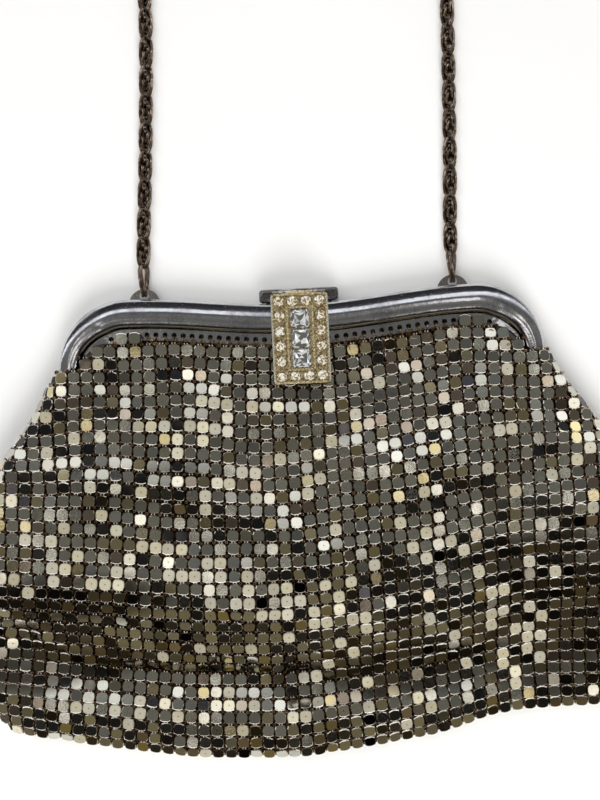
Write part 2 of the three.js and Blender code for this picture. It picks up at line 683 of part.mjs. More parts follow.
// The chain: each unit is one twisted oval of doubled wire, set crosswise into its neighbours.
function chainLinks() {
  const stops = [[-EAR_X, EAR_HOLE_Y], ...CHAIN_WAY, [EAR_X, EAR_HOLE_Y]];
  const way = new THREE.CatmullRomCurve3(stops.map(([x, y]) => new THREE.Vector3(x, y, 0)));
  way.arcLengthDivisions = 2000;
  const length = way.getLength();
  const count = Math.round((length - LINK_OVERLAP) / LINK_PITCH);
  const pitch = (length - LINK_OVERLAP) / count;
  const halfLength = (pitch + LINK_OVERLAP) / 2;
  let chain = null;
  for (let i = 0; i < count; i += 1) {
    const from = i === 0 ? 90 : -45;
    const to = i === count - 1 ? -90 : 45;
    const link = twistedLink({ way, length, centre: halfLength + i * pitch, halfLength, from, to });
    chain = chain ? chain.add(link) : link;
  }
  return chain;
}

function twistedLink(place) {
  const flat = LINK_SHAPE.map(([along, out]) => new THREE.Vector2(along * place.halfLength, out * LINK_HALF));
  const rings = flat.map((point, i) => {
    const arriving = point.clone().sub(flat[(i + flat.length - 1) % flat.length]).normalize();
    const leaving = flat[(i + 1) % flat.length].clone().sub(point).normalize();
    const outwards = new THREE.Vector2(arriving.y + leaving.y, -(arriving.x + leaving.x)).normalize();
    const mitre = 1 / Math.sqrt((1 + arriving.dot(leaving)) / 2);
    return Array.from({ length: WIRE_SIDES }, (_, k) => {
      const turn = (k * 2 * Math.PI) / WIRE_SIDES;
      const out = WIRE_RADIAL * Math.cos(turn) * mitre;
      const [along, aside] = [point.x + outwards.x * out, point.y + outwards.y * out];
      return onTheWay(place, along, aside, WIRE_NORMAL * Math.sin(turn));
    });
  });
  return loft(rings, null);
}

// A point of a link laid on the chain's way: along it, to the side in the link's plane, and out of that plane.
function onTheWay({ way, length, centre, halfLength, from, to }, along, aside, off) {
  const share = THREE.MathUtils.clamp((centre + along) / length, 0, 1);
  const beyond = centre + along - share * length;
  const place = way.getPointAt(share);
  const tangent = way.getTangentAt(share);
  const turn = THREE.MathUtils.degToRad(THREE.MathUtils.mapLinear(along, -halfLength, halfLength, from, to));
  const sideways = aside * Math.cos(turn) - off * Math.sin(turn);
  const up = aside * Math.sin(turn) + off * Math.cos(turn);
  const fromEar = Math.min(centre + along, length - centre - along);
  const lift = (EAR_Z - CHAIN_Z) * THREE.MathUtils.smoothstep(14 - fromEar, 0, 14);
  return [
    place.x + tangent.x * beyond - tangent.y * sideways,
    place.y + tangent.y * beyond + tangent.x * sideways,
    CHAIN_Z + lift + up,
  ];
}

// The rivet of one frame hinge: a shaft with a head at each end.
function hingeRivet(side) {
  const reach = HINGE_PLATE + 1.5 * GAP;
  const middle = side * HINGE_X;
  const [from, to] = [middle - reach, middle + reach];
  const shaft = barAlongX(from - 0.3, to + 0.3, HINGE_Y, PARTING_Z, HINGE_PIN, 8);
  return shaft
    .add(barAlongX(from - RIVET_HEAD_THICK, from, HINGE_Y, PARTING_Z, RIVET_HEAD, 8))
    .add(barAlongX(to, to + RIVET_HEAD_THICK, HINGE_Y, PARTING_Z, RIVET_HEAD, 8));
}

function addPiece(group, name, solid, finish) {
  const geometry = geometryOf(solid);
  geometry.computeVertexNormals();
  const piece = new THREE.Mesh(geometry, new THREE.MeshStandardMaterial(finish));
  piece.name = name;
  group.add(piece);
}

const purse = new THREE.Group();
purse.name = "metal_mesh_purse";

const front = frameHalf();
const turned = geometryOf(front).translate(0, 0, -PARTING_Z).rotateY(Math.PI).translate(0, 0, PARTING_Z);
const back = solidOfGeometry(turned).add(chainEar(-EAR_X)).add(chainEar(EAR_X)).add(claspBracket());
addPiece(purse, "frame_front", front, FINISHES.frame);
addPiece(purse, "frame_back", back, FINISHES.frame);
addPiece(purse, "hinge_rivet_left", hingeRivet(-1), FINISHES.rivet);
addPiece(purse, "hinge_rivet_right", hingeRivet(1), FINISHES.rivet);

const pinHalf = BRACKET_KNUCKLE_END + GAP;
addPiece(purse, "clasp_pin", barAlongX(-pinHalf, pinHalf, CLASP_Y, CLASP_Z, CLASP_PIN, 8), FINISHES.pin);
addPiece(purse, "clasp_flap", claspFlap(), FINISHES.flap);
roundStones().forEach((stone, i) => {
  addPiece(purse, "rhinestone_" + String(i + 1).padStart(2, "0"), stone, FINISHES.stone);
});
squareStones().forEach((stone, i) => addPiece(purse, "square_stone_" + (i + 1), stone, FINISHES.stone));
addPiece(purse, "mesh_pouch", meshPouch(), FINISHES.mesh);
addPiece(purse, "chain", chainLinks(), FINISHES.chain);

export default purse;
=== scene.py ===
"""Dress a metal mesh purse with a jewelled clasp: plates, wire, frame, stones, finishes, light and camera."""

import logging
import math
import random
from collections.abc import Callable, Sequence
from dataclasses import dataclass, field
from enum import Enum

import bmesh
import bpy
import numpy as np
from mathutils import Matrix, Vector

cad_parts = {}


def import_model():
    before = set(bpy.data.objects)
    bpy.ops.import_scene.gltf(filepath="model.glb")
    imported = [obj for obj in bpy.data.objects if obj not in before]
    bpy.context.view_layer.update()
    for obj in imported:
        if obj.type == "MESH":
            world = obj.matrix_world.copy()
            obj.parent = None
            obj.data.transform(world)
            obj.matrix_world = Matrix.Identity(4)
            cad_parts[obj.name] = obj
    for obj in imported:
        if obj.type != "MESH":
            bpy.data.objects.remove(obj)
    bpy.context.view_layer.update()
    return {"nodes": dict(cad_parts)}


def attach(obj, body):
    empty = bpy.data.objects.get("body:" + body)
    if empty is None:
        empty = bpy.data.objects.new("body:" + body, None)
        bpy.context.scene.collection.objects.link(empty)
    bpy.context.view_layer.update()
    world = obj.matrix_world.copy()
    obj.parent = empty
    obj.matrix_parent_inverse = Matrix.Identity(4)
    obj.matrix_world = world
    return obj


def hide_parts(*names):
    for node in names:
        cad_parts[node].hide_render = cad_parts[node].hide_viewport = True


LOG = logging.getLogger("purse")

# One millimetre in metres, and the heights of the frame's parting and of the flap's bed, in mm
MM = 0.001
PARTING_Z = 5.7
FLAP_BED = 12.85
# How far above the mouth the mesh may reach, as a share of the way down
HIGHEST = -0.03

Colour = tuple[float, float, float]
Place = tuple[float, float, float]
Table = tuple[tuple[float, ...], ...]
Stops = tuple[tuple[float, Colour], ...]


class Body(Enum):
    """The moving bodies of the purse."""

    PURSE = "purse"
    FLAP = "flap"


class Side(Enum):
    """The two sides of the pouch and of the frame."""

    FRONT = "front"
    BACK = "back"


class Wire:
    """A shader value or colour that Python expressions can be written with."""

    def __init__(self, graph: "Graph", socket: bpy.types.NodeSocket) -> None:
        """Keep the socket and the graph that it belongs to."""
        self.graph = graph
        self.socket = socket

    def __add__(self, other: "Wire | float") -> "Wire":
        """Add."""
        return self.graph.maths("ADD", self, other)

    def __radd__(self, other: "Wire | float") -> "Wire":
        """Add from the right."""
        return self.graph.maths("ADD", other, self)

    def __sub__(self, other: "Wire | float") -> "Wire":
        """Take away."""
        return self.graph.maths("SUBTRACT", self, other)

    def __rsub__(self, other: "Wire | float") -> "Wire":
        """Take this away from the other."""
        return self.graph.maths("SUBTRACT", other, self)

    def __mul__(self, other: "Wire | float") -> "Wire":
        """Multiply."""
        return self.graph.maths("MULTIPLY", self, other)

    def __rmul__(self, other: "Wire | float") -> "Wire":
        """Multiply from the right."""
        return self.graph.maths("MULTIPLY", other, self)

    def __truediv__(self, other: "Wire | float") -> "Wire":
        """Divide."""
        return self.graph.maths("DIVIDE", self, other)

    def __abs__(self) -> "Wire":
        """Drop the sign."""
        return self.graph.maths("ABSOLUTE", self)


class Graph:
    """The node tree of one finish, or of the room's light."""

    def __init__(self, tree: bpy.types.NodeTree) -> None:
        """Start with an empty tree."""
        self.tree = tree
        tree.nodes.clear()

    def node(
        self,
        kind: str,
        settings: dict[str, object] | None = None,
        inputs: dict[str | int, object] | None = None,
        output: str | int = 0,
    ) -> Wire:
        """Add one node.

        Args:
            kind: The node's type.
            settings: Its settings, or the stops of its ramp.
            inputs: The values or links of its sockets.
            output: The socket that is wanted.

        Returns:
            The wanted output.
        """
        made = self.tree.nodes.new(kind)
        for key, value in (settings or {}).items():
            if key == "stops":
                self._set_stops(made.color_ramp, value)
            else:
                setattr(made, key, value)
        for key, value in (inputs or {}).items():
            if isinstance(value, Wire):
                self.tree.links.new(value.socket, made.inputs[key])
            else:
                made.inputs[key].default_value = value
        return Wire(self, made.outputs[output]) if len(made.outputs) else Wire(self, made.inputs[0])

    @staticmethod
    def _set_stops(ramp: bpy.types.ColorRamp, stops: Stops) -> None:
        """Give a ramp its stops.

        Args:
            ramp: The ramp.
            stops: Places and colours, in order.
        """
        while len(ramp.elements) < len(stops):
            ramp.elements.new(1.0)
        for element, (place, colour) in zip(ramp.elements, stops):
            element.position = place
            element.color = (*colour, 1.0)

    def maths(self, operation: str, *values: "Wire | float") -> Wire:
        """Work out one sum on values."""
        return self.node("ShaderNodeMath", {"operation": operation}, dict(enumerate(values)))

    def place(self) -> Wire:
        """Give the place on the piece."""
        return self.node("ShaderNodeTexCoord", output="Object")

    def attribute(self, name: str, output: str = "Vector") -> Wire:
        """Read an attribute of the mesh."""
        return self.node("ShaderNodeAttribute", {"attribute_name": name}, output=output)

    def parts(self, vector: Wire) -> tuple[Wire, Wire, Wire]:
        """Split a vector into its three values."""
        split = self.node("ShaderNodeSeparateXYZ", inputs={0: vector}).socket.node
        return tuple(Wire(self, socket) for socket in split.outputs)

    def noise(self, vector: Wire, scale: float, detail: float = 3.0, rough: float = 0.55) -> Wire:
        """Add cloudy noise.

        Args:
            vector: The place that it is read at.
            scale: Clouds per metre.
            detail: How many finer layers it has.
            rough: How strong the finer layers are.

        Returns:
            A value of about 0.2 to 0.8.
        """
        sockets = {"Vector": vector, "Scale": scale, "Detail": detail, "Roughness": rough}
        return self.node("ShaderNodeTexNoise", inputs=sockets)

    def eased(self, value: Wire, low: float, high: float, to_low: float = 0.0, to_high: float = 1.0) -> Wire:
        """Map a value smoothly from one range to another.

        Args:
            value: The value.
            low: Where the change begins.
            high: Where it ends.
            to_low: The result up to there.
            to_high: The result from there on.

        Returns:
            The mapped value.
        """
        sockets = {0: value, 1: low, 2: high, 3: to_low, 4: to_high}
        return self.node("ShaderNodeMapRange", {"interpolation_type": "SMOOTHSTEP"}, sockets)

    def ramp(self, value: Wire, stops: Stops) -> Wire:
        """Turn a value into a colour."""
        return self.node("ShaderNodeValToRGB", {"stops": stops}, {0: value})

    def mixed(self, share: "Wire | float", first: "Wire | Colour", second: "Wire | Colour") -> Wire:
        """Mix two colours.

        Args:
            share: How much of the second.
            first: The first colour.
            second: The second colour.

        Returns:
            The mixed colour.
        """
        colours = [c if isinstance(c, Wire) else (*c, 1.0) for c in (first, second)]
        sockets = {0: share, 6: colours[0], 7: colours[1]}
        return self.node("ShaderNodeMix", {"data_type": "RGBA"}, sockets, 2)

    def bump(self, height: Wire, distance: float, strength: float = 1.0) -> Wire:
        """Turn a height into a surface normal."""
        sockets = {"Strength": strength, "Distance": distance, "Height": height}
        return self.node("ShaderNodeBump", inputs=sockets)

    def surface(self, **sockets: object) -> None:
        """End the tree in a principled surface with these sockets."""
        inputs = {key.replace("_", " "): value for key, value in sockets.items()}
        shader = self.node("ShaderNodeBsdfPrincipled", inputs=inputs)
        self.node("ShaderNodeOutputMaterial", inputs={"Surface": shader})


@dataclass(frozen=True)
class Finish:
    """A finish, with its name."""

    name: str

    def dress(self) -> bpy.types.Material:
        """Make the material of this finish."""
        material = bpy.data.materials.new(self.name)
        material.use_nodes = True
        self.paint(Graph(material.node_tree))
        return material

    def paint(self, graph: Graph) -> None:
        """Add the nodes of this finish."""
        raise NotImplementedError


@dataclass(frozen=True)
class PolishedFrame(Finish):
    """Bright plated metal with thin tarnish, smears and fine scratches."""

    bright: Colour = (0.56, 0.56, 0.585)
    dull: Colour = (0.22, 0.22, 0.23)
    rough: float = 0.12
    speck: Colour = (0.2, 0.17, 0.15)

    def paint(self, graph: Graph) -> None:
        """Add the nodes of this finish."""
        place = graph.place()
        clouds = graph.noise(place, 90.0, 5.0, 0.62)
        specks = graph.noise(place, 900.0, 4.0, 0.7)
        dark_patches = graph.eased(clouds, 0.42, 0.72)
        spots = graph.eased(specks, 0.6, 0.7)
        colour = graph.mixed(dark_patches * 0.75, self.bright, self.dull)
        colour = graph.mixed(spots * 0.45, colour, self.speck)
        rough = dark_patches * 0.12 + spots * 0.15 + self.rough
        dents = graph.noise(place, 150.0, 3.0, 0.6)
        grain = graph.noise(place, 1500.0, 2.0, 0.6)
        height = dents + grain * 0.1
        graph.surface(
            Base_Color=colour, Metallic=1.0, Roughness=rough, Normal=graph.bump(height, 0.0001, 0.8)
        )


@dataclass(frozen=True)
class WornGold(Finish):
    """Gold-toned metal, worn pale on its high places and brown in its low ones."""

    gold: Colour = (0.86, 0.66, 0.3)
    pale: Colour = (1.0, 0.93, 0.7)
    brown: Colour = (0.16, 0.09, 0.03)
    silver_and_painted_highlight: Colour = (0.8, 0.77, 0.7)
    # Heights between which it turns brown, and how far out its outer wall turns to silver, in mm
    low: tuple[float, float] = (12.9, 13.6)
    wall: tuple[float, float] = (8.05, 8.25)

    def paint(self, graph: Graph) -> None:
        """Add the nodes of this finish."""
        place = graph.place()
        clouds = graph.noise(place, 1100.0, 4.0, 0.6)
        grain = graph.noise(place, 1900.0, 3.0, 0.6)
        colour = graph.mixed(graph.eased(clouds, 0.42, 0.62), self.gold, self.pale)
        x, _, z = graph.parts(place)
        low = graph.eased(z, self.low[1] * MM, self.low[0] * MM)
        dirt = graph.eased(grain, 0.46, 0.6) * 0.65 + low * 0.3
        colour = graph.mixed(dirt, colour, self.brown)
        wall = graph.eased(abs(x), self.wall[0] * MM, self.wall[1] * MM)
        colour = graph.mixed(wall, colour, self.silver_and_painted_highlight)
        rough = 0.14 + clouds * 0.2
        graph.surface(
            Base_Color=colour, Metallic=0.8, Roughness=rough, Normal=graph.bump(grain, 0.00012, 0.8)
        )


@dataclass(frozen=True)
class DarkSteel(Finish):
    """Blackened steel that is worn bright in places."""

    dark: Colour = (0.07, 0.065, 0.065)
    worn: Colour = (0.4, 0.38, 0.37)
    wear_from: float = 0.55

    def paint(self, graph: Graph) -> None:
        """Add the nodes of this finish."""
        place = graph.place()
        wear = graph.eased(graph.noise(place, 260.0, 5.0, 0.65), self.wear_from, self.wear_from + 0.14)
        grain = graph.noise(place, 1800.0, 3.0)
        colour = graph.mixed(wear, self.dark, self.worn)
        rough = 0.16 + grain * 0.22
        graph.surface(
            Base_Color=colour, Metallic=1.0, Roughness=rough, Normal=graph.bump(grain, 0.00005, 0.5)
        )


@dataclass(frozen=True)
class MeshPlateMetal(Finish):
    """Small stamped plates, each with a tone of its own, rubbed pale, brown or gold."""

    # Black, brown, olive, then the usual grey, and at the end the freshly rubbed ones
    tones: Stops = (
        (0.0, (0.04, 0.04, 0.045)),
        (0.045, (0.06, 0.055, 0.055)),
        (0.05, (0.34, 0.27, 0.21)),
        (0.12, (0.44, 0.38, 0.3)),
        (0.13, (0.52, 0.43, 0.22)),
        (0.22, (0.56, 0.49, 0.31)),
        (0.24, (0.48, 0.465, 0.4)),
        (0.93, (0.59, 0.57, 0.49)),
        (0.945, (0.72, 0.65, 0.45)),
        (0.97, (0.8, 0.76, 0.62)),
        (1.0, (0.76, 0.7, 0.5)),
    )
    # Patches where the plates are painted darker: middle across and along, reach across and along, in mm, and
    # strength
    dark_patches: Table = (
        (72.0, -28.0, 32.0, 24.0, 0.75), (22.0, -38.0, 36.0, 9.0, 0.75), (-76.0, -11.0, 40.0, 9.0, 0.8),
        (-82.0, -31.0, 30.0, 9.0, 0.75), (66.0, -5.0, 32.0, 10.0, 0.75), (-64.0, 44.0, 12.0, 8.0, 0.3),
        (44.0, -34.0, 58.0, 6.0, 0.8), (-10.0, 42.0, 50.0, 16.0, 0.22), (-50.0, 22.0, 40.0, 8.0, 0.22),
    )
    stained: Colour = (0.42, 0.35, 0.25)
    darkened: Colour = (0.09, 0.07, 0.05)
    pitted: Colour = (0.2, 0.17, 0.15)
    dotted: Colour = (0.12, 0.1, 0.07)
    rim: Colour = (0.2, 0.18, 0.15)
    glint: Colour = (0.98, 0.95, 0.88)
    # Tones from which a plate is freshly rubbed, and where its darker rim begins and ends
    fresh_from: tuple[float, float] = (0.94, 0.945)
    rim_from: tuple[float, float] = (0.62, 0.68)
    # The power of the plate's rounded square, and how much longer its rows are than its columns
    corner: float = 3.4
    squash: float = 1.031

    def paint(self, graph: Graph) -> None:
        """Add the nodes of this finish."""
        place = graph.place()
        across, down, tone = graph.parts(graph.attribute("plate_place"))
        out = graph.maths("SQRT", across * across + down * down)
        grain = graph.noise(place, 1500.0, 4.0, 0.7)
        clouds = graph.noise(place, 60.0, 3.0, 0.6)
        stain = graph.eased(clouds, 0.5, 0.75) * 0.45
        fresh = graph.eased(tone, *self.fresh_from)
        pits = graph.eased(grain, 0.62, 0.74) * 0.5
        dot = graph.eased(out, 0.16, 0.06) * graph.eased(tone, 0.9, 0.92)
        square = graph.maths("POWER", abs(across), self.corner)
        square = square + graph.maths("POWER", abs(down * self.squash), self.corner)
        edge = graph.eased(square, *self.rim_from)
        glints = self._glints(graph, place, down, tone) * edge
        colour = graph.ramp(tone, self.tones)
        # Darker patches over parts of the pouch, which spare the freshly rubbed plates
        for share, over in (
            (stain, self.stained), (self._patch_darkness(graph, place, clouds) * (1.0 - fresh), self.darkened),
            (pits, self.pitted), (dot * 0.85, self.dotted), (edge * 0.6, self.rim), (glints, self.glint),
        ):
            colour = graph.mixed(share, colour, over)
        rough = 0.06 + graph.eased(grain, 0.35, 0.7) * 0.05 + stain * 0.08 + fresh * 0.1
        graph.surface(
            Base_Color=colour, Metallic=1.0 - fresh * 0.45 - glints * 0.8, Roughness=rough,
            Normal=graph.bump(grain + dot * -0.8, 0.00004, 0.15),
        )

    def _patch_darkness(self, graph: Graph, place: Wire, clouds: Wire) -> Wire:
        """Give how much darker the plates are painted in the patches.

        Args:
            graph: The finish's nodes.
            place: The place on the piece.
            clouds: Noise that makes the patches uneven.

        Returns:
            The strength of the darkest patch there.
        """
        x, y, _ = graph.parts(place)
        gone = 0.0
        for at_x, at_y, wide, high, strength in self.dark_patches:
            far_x = (x - at_x * MM) / (wide * MM)
            far_y = (y - at_y * MM) / (high * MM)
            reach = far_x * far_x + far_y * far_y + (clouds - 0.5) * 1.6
            gone = graph.maths("MAXIMUM", gone, graph.eased(reach, 1.1, 0.2) * strength)
        return gone

    def _glints(self, graph: Graph, place: Wire, down: Wire, tone: Wire) -> Wire:
        """Give how strongly the rolled rims catch the light: below, and in some places above.

        Args:
            graph: The finish's nodes.
            place: The place on the piece.
            down: The place on the plate, from -1 at its lower edge to 1 at its upper one.
            tone: The plate's tone, which makes the strength of its glint.

        Returns:
            The strength of the glint.
        """
        above = graph.eased(graph.noise(place, 24.0, 2.0), 0.5, 0.58)
        lit = graph.eased(down, -0.5, -0.8) + graph.eased(down, 0.5, 0.8) * above
        return lit * graph.eased(graph.maths("FRACT", tone * 57.0), 0.1, 0.5, 0.25, 1.0)


@dataclass(frozen=True)
class MeshBackingMetal(Finish):
    """The hooks and rings that lie under the plates, drawn on a near-black sheet: painted shade of the
    pouch's inside seen through the gaps.
    """

    # Near-black between the wires: painted shade of the pouch's inside seen through the gaps
    dark: Colour = (0.014, 0.01, 0.008)
    bronze: Colour = (0.12, 0.065, 0.035)

    def paint(self, graph: Graph) -> None:
        """Add the nodes of this finish."""
        column, row, _ = graph.parts(graph.node("ShaderNodeTexCoord", output="UV"))
        across = abs(graph.maths("FRACT", column + 0.5) - 0.5)
        down = abs(graph.maths("FRACT", row + 0.5) - 0.5)
        out = graph.maths("SQRT", across * across + down * down)
        ring = graph.eased(abs(out - 0.3), 0.1, 0.02)
        bars = graph.eased(graph.maths("MINIMUM", across, down), 0.12, 0.02)
        wires = graph.maths("MAXIMUM", ring, bars)
        stains = graph.noise(graph.place(), 300.0, 4.0, 0.6)
        colour = graph.mixed(wires * graph.eased(stains, 0.3, 0.7), self.dark, self.bronze)
        rough = 0.6 - wires * 0.25
        graph.surface(
            Base_Color=colour, Metallic=0.9, Roughness=rough, Normal=graph.bump(wires, 0.0003, 0.8)
        )


@dataclass(frozen=True)
class TarnishedWire(Finish):
    """Wire gone brown, with brighter metal where it rubs."""

    brown: Colour = (0.13, 0.085, 0.06)
    bright: Colour = (0.5, 0.4, 0.32)
    scale: float = 350.0
    rough: float = 0.12
    metal: float = 1.0

    def paint(self, graph: Graph) -> None:
        """Add the nodes of this finish."""
        place = graph.place()
        clouds = graph.noise(place, self.scale, 5.0, 0.65)
        grain = graph.noise(place, self.scale * 8.0, 3.0)
        rubbed = graph.eased(clouds, 0.45, 0.68)
        colour = graph.mixed(rubbed, self.brown, self.bright)
        rough = grain * 0.2 + self.rough - rubbed * 0.06
        graph.surface(
            Base_Color=colour, Metallic=self.metal, Roughness=rough, Normal=graph.bump(grain, 0.00006, 0.5)
        )


@dataclass(frozen=True)
class CutGlass(Finish):
    """Foil-backed cut glass whose facets are painted at random as bright highlights and dark shade."""

    # clear is the painted highlight of the bright facets, shade the painted shade of the dark ones
    clear: Colour = (1.0, 0.98, 0.86)
    shade: Colour = (0.3, 0.2, 0.07)
    bright_from: float = 0.34
    coat: float = 1.0

    def paint(self, graph: Graph) -> None:
        """Add the nodes of this finish."""
        tone = graph.attribute("facet_tone", "Fac")
        cloud = graph.noise(graph.place(), 1500.0, 2.0)
        bright = graph.eased(tone, self.bright_from, self.bright_from + 0.22)
        colour = graph.mixed(bright, self.shade, self.clear)
        colour = graph.mixed(graph.eased(cloud, 0.55, 0.7) * 0.35, colour, self.shade)
        rough = 0.05 + cloud * 0.1
        graph.surface(
            Base_Color=colour, Metallic=0.3, Roughness=rough, Coat_Weight=self.coat, Coat_Roughness=0.03
        )


def soft_step(value: np.ndarray, low: float, high: float) -> np.ndarray:
    """Ease from 0 to 1 between two values."""
    share = np.clip((value - low) / (high - low), 0.0, 1.0)
    return share * share * (3.0 - 2.0 * share)


def soft_table(table: Table, at: np.ndarray, column: int, stretch: float) -> np.ndarray:
    """Read a table with its corners rounded off.

    Args:
        table: Rows whose first column is the way along it.
        at: Where to read it.
        column: The column that is wanted.
        stretch: How far the rounding reaches.

    Returns:
        The values.
    """
    places = [row[0] for row in table]
    values = [row[column] for row in table]
    total = 0.0
    for shift, weight in ((-1, 1), (-0.5, 2), (0, 2), (0.5, 2), (1, 1)):
        total = total + weight * np.interp(np.asarray(at) + shift * stretch, places, values)
    return total / 8.0


@dataclass
class FrameLine:
    """The outer edge of the frame, from the right arm over the shoulders to the left arm."""

    shoulder_x: float = 52.7
    shoulder_y: float = 57.0
    radius: float = 20.6
    saddle: float = 3.6
    arm: float = 6.1
    # Degrees below the shoulder's centre that the arm's end counts as
    arm_degrees: float = 40.0

    def saddle_y(self, x: float) -> float:
        """Give the height of the edge between the shoulders."""
        dip = self.saddle * (1.0 + math.cos(math.pi * x / self.shoulder_x)) / 2.0
        return self.shoulder_y + self.radius - dip

    def station(self, at: float) -> tuple[Vector, Vector, float]:
        """Give one place along the edge.

        Args:
            at: -1 at the right arm's end, 0 to 1 round the right shoulder, 1 to 3 over the saddle,
                3 to 4 round the left shoulder and 5 at the left arm's end.

        Returns:
            The place, the way inwards and the angle above the shoulder's centre, in degrees.
        """
        if at > 2.0:
            place, inwards, angle = self.station(4.0 - at)
            return Vector((-place.x, place.y)), Vector((-inwards.x, inwards.y)), angle
        if at < 0.0:
            place = Vector((self.shoulder_x + self.radius, self.shoulder_y + at * self.arm))
            return place, Vector((-1.0, 0.0)), self.arm_degrees * at
        if at < 1.0:
            turn = at * math.pi / 2.0
            out = Vector((math.cos(turn), math.sin(turn)))
            return Vector((self.shoulder_x, self.shoulder_y)) + out * self.radius, -out, 90.0 * at
        x = self.shoulder_x * (2.0 - at)
        slope = self.saddle * math.pi / (2.0 * self.shoulder_x) * math.sin(math.pi * x / self.shoulder_x)
        return Vector((x, self.saddle_y(x))), Vector((slope, -1.0)).normalized(), 90.0


